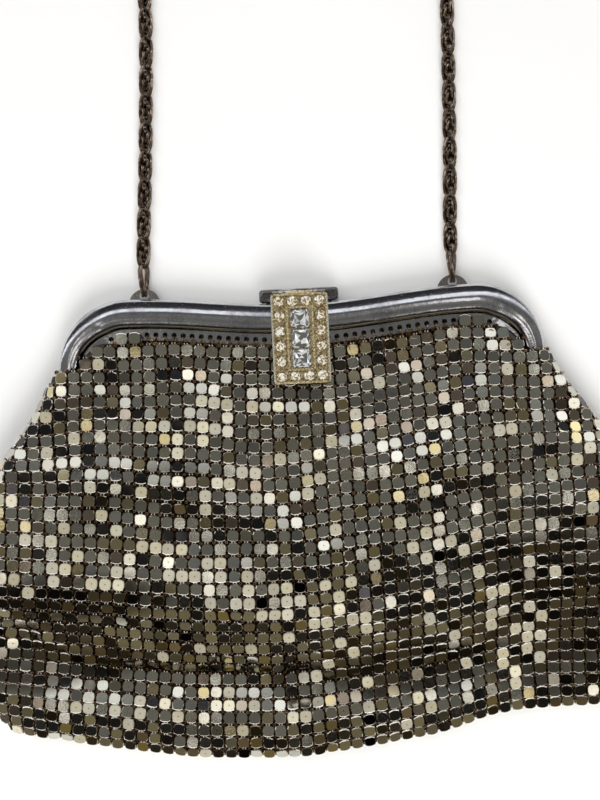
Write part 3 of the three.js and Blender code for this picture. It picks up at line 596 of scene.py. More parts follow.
@dataclass
class PouchForm:
    """The soft form of the mesh pouch, outside and inside. Its tables are shares, as named."""

    line: FrameLine
    mouth_half: float = 75.1
    half_width: float = 104.0
    bottom_half: float = 93.596
    length: float = 124.75
    full_height: float = 19.0
    seam_z: float = 5.5
    mouth_y: float = 61.25
    below_edge: float = 12.75
    mouth_drop: float = 10.1
    drops_from: float = 56.0
    bottom_roll: float = 6.0
    back_roll: float = 5.0
    back_lift: float = 0.85
    thinnest: float = 0.7
    # How far the front's sides roll at the mouth and at the bottom
    front_roll: tuple[float, float] = (5.0, 12.5)
    # How far the corners of the three tables are rounded off
    widths_soft: float = 0.03
    bottom_soft: float = 0.077
    heights_soft: float = 0.035
    # Share of the length, share of the way from the mouth's half width to the full one
    widths: Table = (
        (0, 0), (0.06, 0.022), (0.11, 0.083), (0.17, 0.227), (0.225, 0.371), (0.27, 0.525), (0.37, 0.73),
        (0.49, 0.885), (0.62, 0.964), (0.75, 1), (0.85, 0.964), (0.93, 0.838), (1, 0.64),
    )
    # Share of the full half width across, share of the length down
    bottom: Table = (
        (-0.92, 0.9006), (-0.779, 0.9238), (-0.635, 0.9479), (-0.346, 0.9888), (-0.058, 1), (0.231, 0.9703),
        (0.375, 0.9519), (0.49, 0.9158), (0.577, 0.9046), (0.808, 0.9038), (0.913, 0.8998),
    )
    # Share of the length, shares of the full height at the left, in the middle and at the right
    heights: Table = (
        (0, 0.55, 0.51, 0.55), (0.08, 0.62, 0.53, 0.62), (0.2, 0.75, 0.7, 0.78), (0.32, 0.86, 0.84, 0.92),
        (0.45, 0.93, 0.93, 0.95), (0.56, 1, 1, 0.87), (0.66, 0.8, 0.93, 0.74), (0.75, 0.46, 0.62, 0.6),
        (0.82, 0.44, 0.46, 0.48), (0.9, 0.56, 0.52, 0.46), (0.97, 0.46, 0.46, 0.42), (1, 0.44, 0.44, 0.4),
    )
    # From across and down, to across and down, reach and rise
    folds: Table = (
        (-0.885, 0.2585, -0.567, 0.3066, 0.036, 0.116),
        (-0.356, 0.3146, 0.067, 0.507, 0.04, 0.105),
        (-0.913, 0.5551, -0.192, 0.6032, 0.056, 0.116),
        (-0.827, 0.7395, -0.481, 0.7876, 0.048, -0.116),
        (-0.481, 0.7876, -0.048, 0.8196, 0.048, -0.137),
        (-0.048, 0.8196, 0.385, 0.8116, 0.048, -0.126),
        (0.385, 0.8116, 0.702, 0.7956, 0.048, -0.105),
        (-0.577, 0.0421, -0.5, 0.1383, 0.028, -0.084),
        (0.731, 0.1784, 0.865, 0.2505, 0.032, -0.116),
        (-0.865, 0.6513, -0.76, 0.7715, 0.032, -0.084),
        (-0.404, 0.0261, -0.288, 0.0822, 0.024, -0.063),
        (0.288, 0.0261, 0.385, 0.1062, 0.032, -0.053),
        (0.115, 0.2505, 0.462, 0.3146, 0.04, 0.074),
    )
    # Small waves of the slack mesh: wavelength, direction in degrees, phase, height, all in mm but the angles
    waves: Table = (
        (31.0, 12.0, 0.4, 0.36), (23.0, 97.0, 1.9, 0.3), (17.0, 61.0, 3.1, 0.2), (19.0, 139.0, 5.2, 0.22),
        (12.5, 27.0, 2.6, 0.12), (14.0, 84.0, 4.4, 0.13), (44.0, 118.0, 0.9, 0.45),
    )
    # The calm mesh under the clasp: its reach across and along, its middle, and the share of the waves there
    calm: tuple[float, float, float, float] = (16.0, 22.0, 62.0, 0.35)
    wander: float = 0.9

    def point(self, across: np.ndarray, share: np.ndarray, side: Side, inset: float = 0.0) -> np.ndarray:
        """Give places on the pouch.

        Args:
            across: From -1 at the left to 1 at the right.
            share: From 0 at the mouth to 1 at the bottom.
            side: The front or the back.
            inset: How far inside the outer surface, in mm.

        Returns:
            The places, in mm.
        """
        across, share = np.broadcast_arrays(np.asarray(across, float), np.asarray(share, float))
        mouth = self.mouth(across)
        down = mouth + (1.0 - mouth) * share
        wide = soft_table(self.widths, down, 1, self.widths_soft)
        half = self.mouth_half + (self.half_width - self.mouth_half) * wide
        x = across * (half - inset)
        bottom_at = across * self.bottom_half / self.half_width
        bottom = self.mouth_y - self.length * soft_table(self.bottom, bottom_at, 1, self.bottom_soft) + inset
        mouth_x = np.minimum(np.abs(across) * self.mouth_half, self.line.shoulder_x)
        dip = self.line.saddle * (1.0 + np.cos(math.pi * mouth_x / self.line.shoulder_x)) / 2.0
        top = self.line.shoulder_y + self.line.radius - dip - self.below_edge
        y = top + (bottom - top) * down
        low = soft_step(down, 0.25, 0.75)
        reach = self.back_roll
        if side is Side.FRONT:
            reach = self.front_roll[0] + (self.front_roll[1] - self.front_roll[0]) * low
        roll = self._rolled((1.0 - np.abs(across)) * half, reach)
        roll = roll * self._rolled((1.0 - down) * (top - bottom), self.bottom_roll)
        if side is Side.BACK:
            return np.stack([x, y, self.seam_z - (self.seam_z - inset - self.back_lift) * roll], axis=-1)
        left, middle, right = [soft_table(self.heights, down, c, self.heights_soft) for c in (1, 2, 3)]
        outer = np.where(across < 0.0, left, right)
        height = middle + (outer - middle) * soft_step(np.abs(across), 0.08, 0.62)
        rise = height * self.full_height - self.seam_z
        for fold in self.folds:
            rise = rise + self._fold(fold, across * half, y)
        z = self.seam_z + (np.maximum(self.thinnest, rise + self._waves(x, y, roll)) - inset) * roll
        return np.stack([x, y, z], axis=-1)

    def mouth(self, across: np.ndarray) -> np.ndarray:
        """Give how far down the mouth is, as a share of the length."""
        start = self.drops_from / self.mouth_half
        past = np.maximum(0.0, (np.abs(across) - start) / (1.0 - start))
        return self.mouth_drop / self.length * np.sin(past * math.pi / 2.0)

    def level(self, across: np.ndarray, down: np.ndarray, side: Side, inset: float = 0.0) -> np.ndarray:
        """Give places at a level down the pouch, kept below the mouth.

        Args:
            across: From -1 at the left to 1 at the right.
            down: Share of the length down.
            side: The front or the back.
            inset: How far inside the outer surface, in mm.

        Returns:
            The places, in mm.
        """
        mouth = self.mouth(np.asarray(across))
        return self.point(across, np.clip((down - mouth) / (1.0 - mouth), HIGHEST, 1.0), side, inset)

    @staticmethod
    def _rolled(distance: np.ndarray, reach: float) -> np.ndarray:
        """Give how round the rolled edge is: 0 at the edge, 1 past the roll."""
        left = np.clip(distance / reach, 0.0, 1.0)
        return np.sqrt(np.maximum(0.0, 1.0 - (1.0 - left) ** 2))

    def _fold(self, fold: tuple[float, ...], x: np.ndarray, y: np.ndarray) -> np.ndarray:
        """Give the rise of one fold at some places.

        Args:
            fold: One row of the folds.
            x: Places across, in mm.
            y: Places along, in mm.

        Returns:
            The rise, in mm.
        """
        from_x, from_y = fold[0] * self.half_width, self.mouth_y - fold[1] * self.length
        along_x = fold[2] * self.half_width - from_x
        along_y = self.mouth_y - fold[3] * self.length - from_y
        share = ((x - from_x) * along_x + (y - from_y) * along_y) / (along_x**2 + along_y**2)
        share = np.clip(share, 0.0, 1.0)
        away = np.hypot(x - from_x - share * along_x, y - from_y - share * along_y)
        return fold[5] * self.full_height * np.exp(-((away / (fold[4] * self.length)) ** 2))

    def _waves(self, x: np.ndarray, y: np.ndarray, roll: np.ndarray) -> np.ndarray:
        """Give the small waves of the slack mesh at some places.

        Args:
            x: Places across, in mm.
            y: Places along, in mm.
            roll: How far each place is from the rolled edge.

        Returns:
            The rise, in mm.
        """
        total = np.zeros_like(x)
        for long, degrees, phase, high in self.waves:
            angle = math.radians(degrees)
            along = x * math.cos(angle) + y * math.sin(angle)
            aside = y * math.cos(angle) - x * math.sin(angle)
            bend = self.wander * np.sin(aside / long + phase)
            total += high * np.sin(along * 2.0 * math.pi / long + phase + bend)
        wide, deep, middle, share = self.calm
        away = soft_step(np.hypot(x / wide, (y - middle) / deep), 0.7, 1.3)
        return total * roll * (share + (1.0 - share) * away)


class Piece:
    """A piece in the making: its mesh in mm, and how it joins the scene."""

    def __init__(self, name: str, body: Body = Body.PURSE) -> None:
        """Start an empty piece on a body."""
        self.name = name
        self.body = body
        self.bm = bmesh.new()

    def turn_out(self) -> None:
        """Make every face point outwards."""
        bmesh.ops.recalc_face_normals(self.bm, faces=self.bm.faces[:])

    def finish(
        self, finish: Finish, slot: str | None = None, replaces: Sequence[str] = (),
        smooth: float | None = 40.0,
    ) -> bpy.types.Object:
        """Put the piece into the scene.

        Args:
            finish: Its finish.
            slot: Not used.
            replaces: The nodes that it stands for.
            smooth: Edges sharper than this angle stay sharp, and None leaves every face as it is.

        Returns:
            The piece's object.
        """
        bmesh.ops.scale(self.bm, vec=(MM, MM, MM), verts=self.bm.verts)
        mesh = bpy.data.meshes.new(self.name)
        self.bm.to_mesh(mesh)
        self.bm.free()
        if smooth is not None:
            mesh.shade_smooth()
            mesh.set_sharp_from_angle(angle=math.radians(smooth))
        return self.join(mesh, finish, replaces)

    def join(
        self, mesh: bpy.types.Mesh, finish: Finish, replaces: Sequence[str] = ()
    ) -> bpy.types.Object:
        """Link a finished mesh, dress it and let it ride on its body.

        Args:
            mesh: The mesh, in metres.
            finish: Its finish.
            replaces: The nodes that it stands for.

        Returns:
            The piece's object.
        """
        piece = bpy.data.objects.new(self.name, mesh)
        bpy.context.scene.collection.objects.link(piece)
        mesh.materials.append(finish.dress())
        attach(piece, self.body.value)
        if replaces:
            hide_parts(*replaces)
        LOG.info("%s: %d faces", self.name, len(mesh.polygons))
        return piece


def bevelled(bm: bmesh.types.BMesh, edges: list, width: float, segments: int = 2) -> None:
    """Round off some edges.

    Args:
        bm: The mesh.
        edges: Its edges to round.
        width: How wide the rounding is, in mm.
        segments: How many faces it has.
    """
    bmesh.ops.bevel(
        bm, geom=edges, offset=width, segments=segments, profile=0.5, affect="EDGES", material=-1,
        clamp_overlap=True,
    )


def sharp_edges(bm: bmesh.types.BMesh, verts: list, degrees: float = 35.0) -> list:
    """Find the sharp edges among some vertices."""
    chosen = set(verts)
    edges = [e for e in bm.edges if chosen.issuperset(e.verts) and len(e.link_faces) == 2]
    return [e for e in edges if e.calc_face_angle(0.0) > math.radians(degrees)]


def rounded_square(angle: float, power: float) -> float:
    """Give how far a rounded square reaches at an angle: round with a power of 2, squarer above."""
    return (abs(math.cos(angle)) ** power + abs(math.sin(angle)) ** power) ** (-1.0 / power)


def verts_of(geom: Sequence) -> list:
    """Pick the vertices out of what an operator gives back."""
    return [part for part in geom if isinstance(part, bmesh.types.BMVert)]


def faces_of(geom: Sequence) -> list:
    """Pick the faces out of what an operator gives back."""
    return [part for part in geom if isinstance(part, bmesh.types.BMFace)]


def add_box(
    bm: bmesh.types.BMesh, low: Place, high: Place, round_off: float = 0.0, segments: int = 2
) -> None:
    """Add a box with rounded edges.

    Args:
        bm: The mesh.
        low: Its lowest corner.
        high: Its highest corner.
        round_off: How far its edges are rounded.
        segments: How many faces the rounding has.
    """
    verts = bmesh.ops.create_cube(bm, size=1.0)["verts"]
    bmesh.ops.scale(bm, vec=[b - a for a, b in zip(low, high)], verts=verts)
    bmesh.ops.translate(bm, vec=[(a + b) / 2.0 for a, b in zip(low, high)], verts=verts)
    if round_off > 0.0:
        bevelled(bm, sharp_edges(bm, verts), round_off, segments)


def add_bar(
    bm: bmesh.types.BMesh, from_x: float, to_x: float, y: float, z: float, radius: float, round_off: float
) -> None:
    """Add a round bar along X with rounded ends.

    Args:
        bm: The mesh.
        from_x: Where it starts.
        to_x: Where it ends.
        y: Its place along.
        z: Its height.
        radius: Its radius.
        round_off: How far its ends are rounded.
    """
    turn = Matrix.Translation(((from_x + to_x) / 2.0, y, z)) @ Matrix.Rotation(math.pi / 2.0, 4, "Y")
    verts = bmesh.ops.create_cone(
        bm, cap_ends=True, segments=32, radius1=radius, radius2=radius, depth=to_x - from_x, matrix=turn
    )["verts"]
    bevelled(bm, sharp_edges(bm, verts), round_off)


def wire_ring(wire: float, radius: float, sides: int, steps: int) -> bmesh.types.BMesh:
    """Make a ring of wire about Z.

    Args:
        wire: The wire's radius, in mm.
        radius: The ring's radius to the wire's middle, in mm.
        sides: How many sides the wire has.
        steps: How many steps the ring has.

    Returns:
        The ring's mesh.
    """
    bm = bmesh.new()
    bmesh.ops.create_circle(bm, segments=sides, radius=wire)
    bmesh.ops.rotate(bm, cent=(0, 0, 0), matrix=Matrix.Rotation(math.pi / 2.0, 3, "X"), verts=bm.verts)
    bmesh.ops.translate(bm, vec=(radius, 0, 0), verts=bm.verts)
    bmesh.ops.spin(
        bm, geom=bm.verts[:] + bm.edges[:], cent=(0, 0, 0), axis=(0, 0, 1), angle=2.0 * math.pi, steps=steps,
        use_merge=True,
    )
    bmesh.ops.recalc_face_normals(bm, faces=bm.faces[:])
    return bm


def lofted(bm: bmesh.types.BMesh, along: int, around: int, place: Callable[[int, int], Vector]) -> list:
    """Shape a grid into a skin.

    Args:
        bm: The mesh.
        along: How many vertices it has along.
        around: How many vertices it has the other way.
        place: Gives the place of each vertex from its two indices.

    Returns:
        The vertices by their two indices.
    """
    made = bmesh.ops.create_grid(bm, x_segments=along - 1, y_segments=around - 1, size=1.0)["verts"]
    rows = [[None] * around for _ in range(along)]
    for vert in made:
        i = round((vert.co.x + 1.0) / 2.0 * (along - 1))
        j = round((vert.co.y + 1.0) / 2.0 * (around - 1))
        rows[i][j] = vert
    for i, row in enumerate(rows):
        for j, vert in enumerate(row):
            vert.co = place(i, j)
    return rows


@dataclass
class Replicas:
    """One small shape repeated over many places as a joined mesh."""

    name: str
    points: np.ndarray
    faces: list[tuple[int, ...]]
    flat_sided: bool

    @classmethod
    def of(cls, name: str, bm: bmesh.types.BMesh, flat_sided: bool = False) -> "Replicas":
        """Take the shape from a mesh.

        Args:
            name: The shape's name.
            bm: Its mesh, in mm, about the origin.
            flat_sided: Keep every face flat.

        Returns:
            The shape, ready to be repeated.
        """
        bm.verts.ensure_lookup_table()
        bm.verts.index_update()
        points = np.array([v.co[:] for v in bm.verts])
        faces = [tuple(v.index for v in f.verts) for f in bm.faces]
        bm.free()
        return cls(name, points, faces, flat_sided)

    def repeat(
        self, centres: np.ndarray, axes: np.ndarray, tones: np.ndarray | None = None
    ) -> bpy.types.Mesh:
        """Repeat the shape.

        Args:
            centres: A place for each copy, in mm.
            axes: Three axes for each copy, as rows.
            tones: A tone for each copy, kept with the place on the copy as an attribute.

        Returns:
            The joined mesh, in metres.
        """
        count, size = len(centres), len(self.points)
        places = (np.einsum("pk,nkx->npx", self.points, axes) + centres[:, None, :]).reshape(-1, 3) * MM
        corners = np.concatenate([np.array(face) for face in self.faces])
        totals = np.array([len(face) for face in self.faces])
        mesh = bpy.data.meshes.new(self.name)
        mesh.vertices.add(count * size)
        mesh.vertices.foreach_set("co", places.astype(np.float32).ravel())
        loops = (corners[None, :] + np.arange(count)[:, None] * size).ravel()
        mesh.loops.add(len(loops))
        mesh.loops.foreach_set("vertex_index", loops.astype(np.int32))
        sizes = np.tile(totals, count)
        mesh.polygons.add(len(sizes))
        starts = np.concatenate([[0], np.cumsum(sizes)[:-1]])
        mesh.polygons.foreach_set("loop_start", starts.astype(np.int32))
        mesh.update(calc_edges=True)
        mesh.polygons.foreach_set("use_smooth", np.full(len(sizes), not self.flat_sided))
        if tones is not None:
            half = np.abs(self.points[:, :2]).max()
            local = np.zeros((count, size, 3), np.float32)
            local[:, :, :2] = self.points[None, :, :2] / half
            local[:, :, 2] = tones[:, None]
            kept = mesh.attributes.new("plate_place", "FLOAT_VECTOR", "POINT")
            kept.data.foreach_set("vector", local.ravel())
        mesh.validate()
        return mesh


@dataclass
class MeshCloth:
    """The mesh of the pouch: its plates, the wire between them and the dark backing."""

    form: PouchForm
    line: FrameLine
    row_count: int = 33
    pitch: float = 3.84
    plate_half: float = 1.83
    plate_squash: float = 0.97
    plate_corner: float = 3.4
    # How the plate's rim narrows and rises, and how far its underside lies below the cloth
    plate_rims: Table = ((0.99, 0.18), (0.88, 0.19))
    plate_sunk: float = 0.37
    # Degrees that the plates tip, the most in times that, and the degrees that they turn
    tilt: float = 4.2
    tilt_most: float = 2.6
    turn: float = 2.2
    # How far the plates slide along their rows by chance, and how far under the form they lie
    slide: float = 0.05
    front_depth: float = 0.02
    back_depth: float = 0.12
    # Pitches left free at the sides by the plates and by the wire
    plates_free: float = 0.72
    wire_free: float = 0.9
    # Pitches between the mouth and the first row, and those that all rows leave over
    first_row: float = 0.62
    rows_over: float = 0.33
    ring_wire: float = 0.34
    ring_radius: float = 0.38
    hook_radius: float = 0.2
    hook_apart: float = 0.42
    backing_inset: float = 0.85
    backing_wall: float = 0.3
    # The wire rings through the flange's holes, and the smaller curls of wire at the mouth
    edge_wire: float = 0.2
    edge_radius: float = 1.5
    edge_inset: float = 12.05
    edge_off: float = 2.1
    edge_swing: float = 0.25
    curl_scale: float = 0.58
    curl_chance: float = 0.012
    curl_levels: tuple[float, float] = (0.0, 0.012)
    curl_tilt: float = 26.0
    curl_depth: float = 0.5
    seed: int = 11
    # Sagging of the rows: height, turns across, turns down, phase
    sags: Table = ((0.0055, 7.0, 9.0, 0.0), (0.0035, 17.0, -11.0, 1.0))
    # Tones that chance gives a plate, up to the first value, and where and how far the pale ones go
    tone_most: float = 0.972
    pale_tones: tuple[float, float] = (0.95, 0.05)
    # Where many plates are rubbed pale: middle across and along, reach across and along, chance
    rubbed: Table = (
        (-28.0, 36.0, 8.0, 9.0, 0.45), (-24.0, 24.0, 8.0, 5.0, 0.45), (63.0, 34.0, 15.0, 10.0, 0.16),
        (1.0, 30.0, 5.0, 12.0, 0.25), (30.0, 30.0, 5.0, 10.0, 0.2), (30.0, 5.0, 7.0, 7.0, 0.3),
        (-2.0, -18.0, 17.0, 8.0, 0.42), (60.0, -24.0, 8.0, 12.0, 0.55), (-48.0, -1.0, 30.0, 5.0, 0.25),
        (-20.0, -10.0, 10.0, 6.0, 0.4), (-84.0, 8.0, 10.0, 8.0, 0.25), (-30.0, -46.0, 40.0, 5.0, 0.2),
    )

    def build(self) -> None:
        """Build and dress every piece of the mesh."""
        rows = {side: self._rows(side) for side in Side}
        for side in Side:
            self._plates(side, rows[side])
            self._links(side, rows[side])
        self._backing(rows[Side.FRONT])
        self._edge_rings()

    def _rows(self, side: Side) -> np.ndarray:
        """Space the rows evenly over the soft form.

        Args:
            side: The front or the back.

        Returns:
            The share down of each row's middle.
        """
        fine = np.linspace(0.0, 1.0, 400)
        way = np.zeros(len(fine))
        columns = (-0.5, 0.0, 0.5)
        for across in columns:
            steps = np.linalg.norm(np.diff(self.form.point(across, fine, side), axis=0), axis=1)
            way[1:] += np.cumsum(steps) / len(columns)
        wanted = (np.arange(self.row_count) + self.first_row) / (self.row_count + self.rows_over) * way[-1]
        rows = np.interp(wanted, way, fine)
        return np.concatenate([[2.0 * rows[0] - rows[1]], rows])

    def _limit(self, across: np.ndarray) -> np.ndarray:
        """Give how far down the first plates lie: below the frame, but up to it at the shoulders."""
        away = np.abs(across)
        raised = 0.024 * soft_step(away, 0.52, 0.64)
        lowered = 0.02 * soft_step(away, 0.9, 1.0)
        return self.form.mouth(across) + 0.012 - raised + lowered

    def _across(self, share: float, side: Side, shift: float, reach: float, spare: float) -> list[float]:
        """Space the columns of one row evenly from the middle to both sides.

        Args:
            share: The row's share down.
            side: The front or the back.
            shift: 0 for the plates, 0.5 for what lies between them.
            reach: How many pitches are left free at the side.
            spare: How far above the first plates it may still lie.

        Returns:
            The place across of each column.
        """
        fine = 1.0 - (1.0 - np.linspace(0.0, 1.0, 260)) ** 2
        columns = []
        for sign in (-1.0, 1.0):
            points = self.form.level(sign * fine, share, side)
            way = np.concatenate([[0.0], np.cumsum(np.linalg.norm(np.diff(points, axis=0), axis=1))])
            k = 0
            while (k + shift) * self.pitch <= way[-1] - reach * self.pitch:
                at = sign * np.interp((k + shift) * self.pitch, way, fine)
                under = share > self._limit(np.array(at)) - spare
                if under and not (k == 0 and shift == 0.0 and sign > 0.0):
                    columns.append(float(at))
                k += 1
        return columns

    def _axes(self, across: np.ndarray, share: np.ndarray, side: Side) -> tuple[np.ndarray, np.ndarray]:
        """Give the place and the three axes of the cloth at some places.

        Args:
            across: Places across.
            share: Places down.
            side: The front or the back.

        Returns:
            The places, and the axes along the row, up the column and outwards.
        """
        step = 0.004
        left = self.form.level(np.maximum(across - step, -1.0), share, side)
        right = self.form.level(np.minimum(across + step, 1.0), share, side)
        lower = self.form.level(across, np.minimum(share + step, 1.0), side)
        upper = self.form.level(across, np.maximum(share - step, 0.0), side)
        along = right - left
        along /= np.linalg.norm(along, axis=1)[:, None]
        up = upper - lower
        out = np.cross(along, up)
        out /= np.linalg.norm(out, axis=1)[:, None]
        if side is Side.BACK:
            out = -out
            along = -along
        up = np.cross(out, along)
        return self.form.level(across, share, side), np.stack([along, up, out], axis=1)

    def _tilted(self, axes: np.ndarray, rng: np.random.Generator, degrees: float) -> np.ndarray:
        """Tilt each copy a little, and turn it slightly about its own middle.

        Args:
            axes: The axes of each copy, as rows.
            rng: The seeded source of chance.
            degrees: How far most copies tilt.

        Returns:
            The tilted axes.
        """
        count = len(axes)
        most = self.tilt_most * degrees
        tip, lean = np.radians(rng.normal(0.0, degrees, (2, count)).clip(-most, most))
        spin = np.radians(rng.normal(0.0, self.turn, count))
        along, up, out = axes[:, 0], axes[:, 1], axes[:, 2]
        out = out + along * np.tan(tip)[:, None] + up * np.tan(lean)[:, None]
        out /= np.linalg.norm(out, axis=1)[:, None]
        along = along * np.cos(spin)[:, None] + up * np.sin(spin)[:, None]
        along -= out * np.sum(along * out, axis=1)[:, None]
        along /= np.linalg.norm(along, axis=1)[:, None]
        return np.stack([along, np.cross(out, along), out], axis=1)

    def _plate_shape(self) -> Replicas:
        """Make one plate: a rounded square with a soft edge."""
        bm = bmesh.new()
        bmesh.ops.create_circle(bm, cap_ends=True, segments=12, radius=1.0)
        turn = Matrix.Rotation(math.radians(15.0), 3, "Z")
        bmesh.ops.rotate(bm, cent=(0, 0, 0), matrix=turn, verts=bm.verts)
        for vert in bm.verts:
            angle = math.atan2(vert.co.y, vert.co.x)
            vert.co *= rounded_square(angle, self.plate_corner) * self.plate_half
            vert.co.y *= self.plate_squash
        top = bm.faces[:]
        for scale, rise in self.plate_rims:
            ring = bmesh.ops.extrude_face_region(bm, geom=top)["geom"]
            verts = verts_of(ring)
            top = faces_of(ring)
            bmesh.ops.scale(bm, vec=(scale, scale, 1.0), verts=verts)
            bmesh.ops.translate(bm, vec=(0, 0, rise), verts=verts)
        bmesh.ops.translate(bm, vec=(0, 0, -self.plate_sunk), verts=bm.verts)
        bmesh.ops.recalc_face_normals(bm, faces=bm.faces[:])
        return Replicas.of("mesh_plates", bm, flat_sided=True)

    def _layout(
        self, side: Side, rows: np.ndarray, shift: float, reach: float, spare: float = 0.0
    ) -> tuple[np.ndarray, np.ndarray]:
        """Give the places across and down of everything on one side.

        Args:
            side: The front or the back.
            rows: The share down of each row.
            shift: 0 for the plates, 0.5 for what lies between columns.
            reach: How many pitches are left free at the side.
            spare: How far above the first plates it may still lie.

        Returns:
            The places across and the places down.
        """
        across, share = [], []
        for down in rows:
            for at in self._across(float(down), side, shift, reach, spare):
                across.append(at)
                share.append(down)
        across, share = np.array(across), np.array(share)
        drift = sum(high * np.sin(across * wide + share * deep + on) for high, wide, deep, on in self.sags)
        slack = np.sin(np.clip(share * 1.4 + 0.18, 0.0, 1.0) * math.pi)
        return across, np.clip(share + drift * slack, HIGHEST, 0.998)

    def _plates(self, side: Side, rows: np.ndarray) -> None:
        """Lay the plates of one side.

        Args:
            side: The front or the back.
            rows: The share down of each row.
        """
        rng = np.random.default_rng(self.seed + (side is Side.BACK))
        across, share = self._layout(side, rows, 0.0, self.plates_free)
        centres, axes = self._axes(across, share, side)
        axes = self._tilted(axes, rng, self.tilt)
        centres = centres - axes[:, 2] * (self.front_depth if side is Side.FRONT else self.back_depth)
        centres = centres + axes[:, 0] * rng.normal(0.0, self.slide, len(centres))[:, None]
        tones = rng.random(len(centres)) * self.tone_most
        pale = rng.random((2, len(centres)))
        for at_x, at_y, wide, high, chance in self.rubbed:
            reach = ((centres[:, 0] - at_x) / wide) ** 2 + ((centres[:, 1] - at_y) / high) ** 2
            rubbed = pale[0] < chance * np.exp(-0.6 * reach)
            tones = np.where(rubbed, self.pale_tones[0] + self.pale_tones[1] * pale[1], tones)
        mesh = self._plate_shape().repeat(centres, axes, tones)
        piece = Piece(f"mesh_plates_{side.value}")
        piece.join(mesh, MeshPlateMetal(f"plate metal {side.value}"))

    def _ring_shape(self) -> Replicas:
        """Make one ring of the wire between four plates."""
        return Replicas.of("mesh_rings", wire_ring(self.ring_wire, self.ring_radius, 4, 8))

    def _hook_shape(self) -> Replicas:
        """Make the two beads of wire by which a plate hangs from the next."""
        bm = bmesh.new()
        for place in (-self.hook_apart, self.hook_apart):
            turn = Matrix.Translation((place, 0, 0)) @ Matrix.Diagonal((0.8, 1.5, 1.0, 1.0))
            bmesh.ops.create_uvsphere(bm, u_segments=5, v_segments=4, radius=self.hook_radius, matrix=turn)
        return Replicas.of("mesh_hooks", bm)

    def _links(self, side: Side, rows: np.ndarray) -> None:
        """Lay the wire between the plates: a ring where four meet and beads where one hangs from the next.

        Args:
            side: The front or the back.
            rows: The share down of each row.
        """
        rng = np.random.default_rng(self.seed + 5 + (side is Side.BACK))
        between = (rows[:-1] + rows[1:]) / 2.0
        copper = TarnishedWire(f"ring wire {side.value}", (0.17, 0.095, 0.05), (0.46, 0.31, 0.19))
        # The hooks' wire is near-white and barely metallic: a painted highlight that stands for the small
        # glints on the hooks
        silver_and_painted_highlight = TarnishedWire(
            f"hook wire {side.value}", (0.6, 0.52, 0.4), (0.98, 0.96, 0.9), scale=900.0, metal=0.25
        )
        # Shape, finish, shift, how far above the first plates, tilt in degrees, depth, chance along the row
        for shape, wire, shift, spare, tilt, deep, slide in (
            (self._ring_shape(), copper, 0.5, 0.022, 12.0, 0.42, 0.0),
            (self._hook_shape(), silver_and_painted_highlight, 0.0, 0.01, 8.0, 0.08, 0.12),
        ):
            across, share = self._layout(side, between, shift, self.wire_free, spare)
            centres, axes = self._axes(across, share, side)
            axes = self._tilted(axes, rng, tilt)
            centres = centres - axes[:, 2] * deep
            if slide:
                centres = centres + axes[:, 0] * rng.normal(0.0, slide, len(centres))[:, None]
            piece = Piece(f"{shape.name}_{side.value}")
            piece.join(shape.repeat(centres, axes), wire)

    def _backing(self, rows: np.ndarray) -> None:
        """Make the layer of hooks and rings under the plates, open at the mouth, on a near-black sheet that
        is painted shade.
        """
        piece = Piece("mesh_backing")
        bm = piece.bm
        uv_layer = bm.loops.layers.uv.new("cloth")
        numbers = np.arange(len(rows))
        columns, levels = 101, 76
        across = np.sin(np.linspace(-1.0, 1.0, columns) * math.pi / 2.0)
        share = 1.0 - (1.0 - np.linspace(0.0, 1.0, levels)) ** 1.5
        for side in Side:
            grid = self.form.point(across[:, None], share[None, :], side, self.backing_inset)
            made = lofted(bm, columns, levels, lambda i, j: Vector(grid[i, j]))
            row_at = np.interp(share, rows, numbers)
            spots = {}
            for i, line in enumerate(made):
                for j, vert in enumerate(line):
                    spots[vert] = (grid[i, j, 0] / self.pitch, row_at[j])
            faces = {face for line in made for vert in line for face in vert.link_faces}
            for face in faces:
                for loop in face.loops:
                    loop[uv_layer].uv = spots[loop.vert]
            if side is Side.BACK:
                bmesh.ops.reverse_faces(bm, faces=list(faces))
        bmesh.ops.remove_doubles(bm, verts=bm.verts, dist=0.02)
        made = piece.finish(MeshBackingMetal("mesh backing"), "metal_mesh", ["mesh_pouch"], 60.0)
        outwards = sum(f.normal.z for f in made.data.polygons if f.center.z > 8 * MM)
        if outwards < 0.0:
            made.data.flip_normals()
        wall = made.modifiers.new("wall", "SOLIDIFY")
        wall.thickness = self.backing_wall * MM
        wall.offset = -1.0

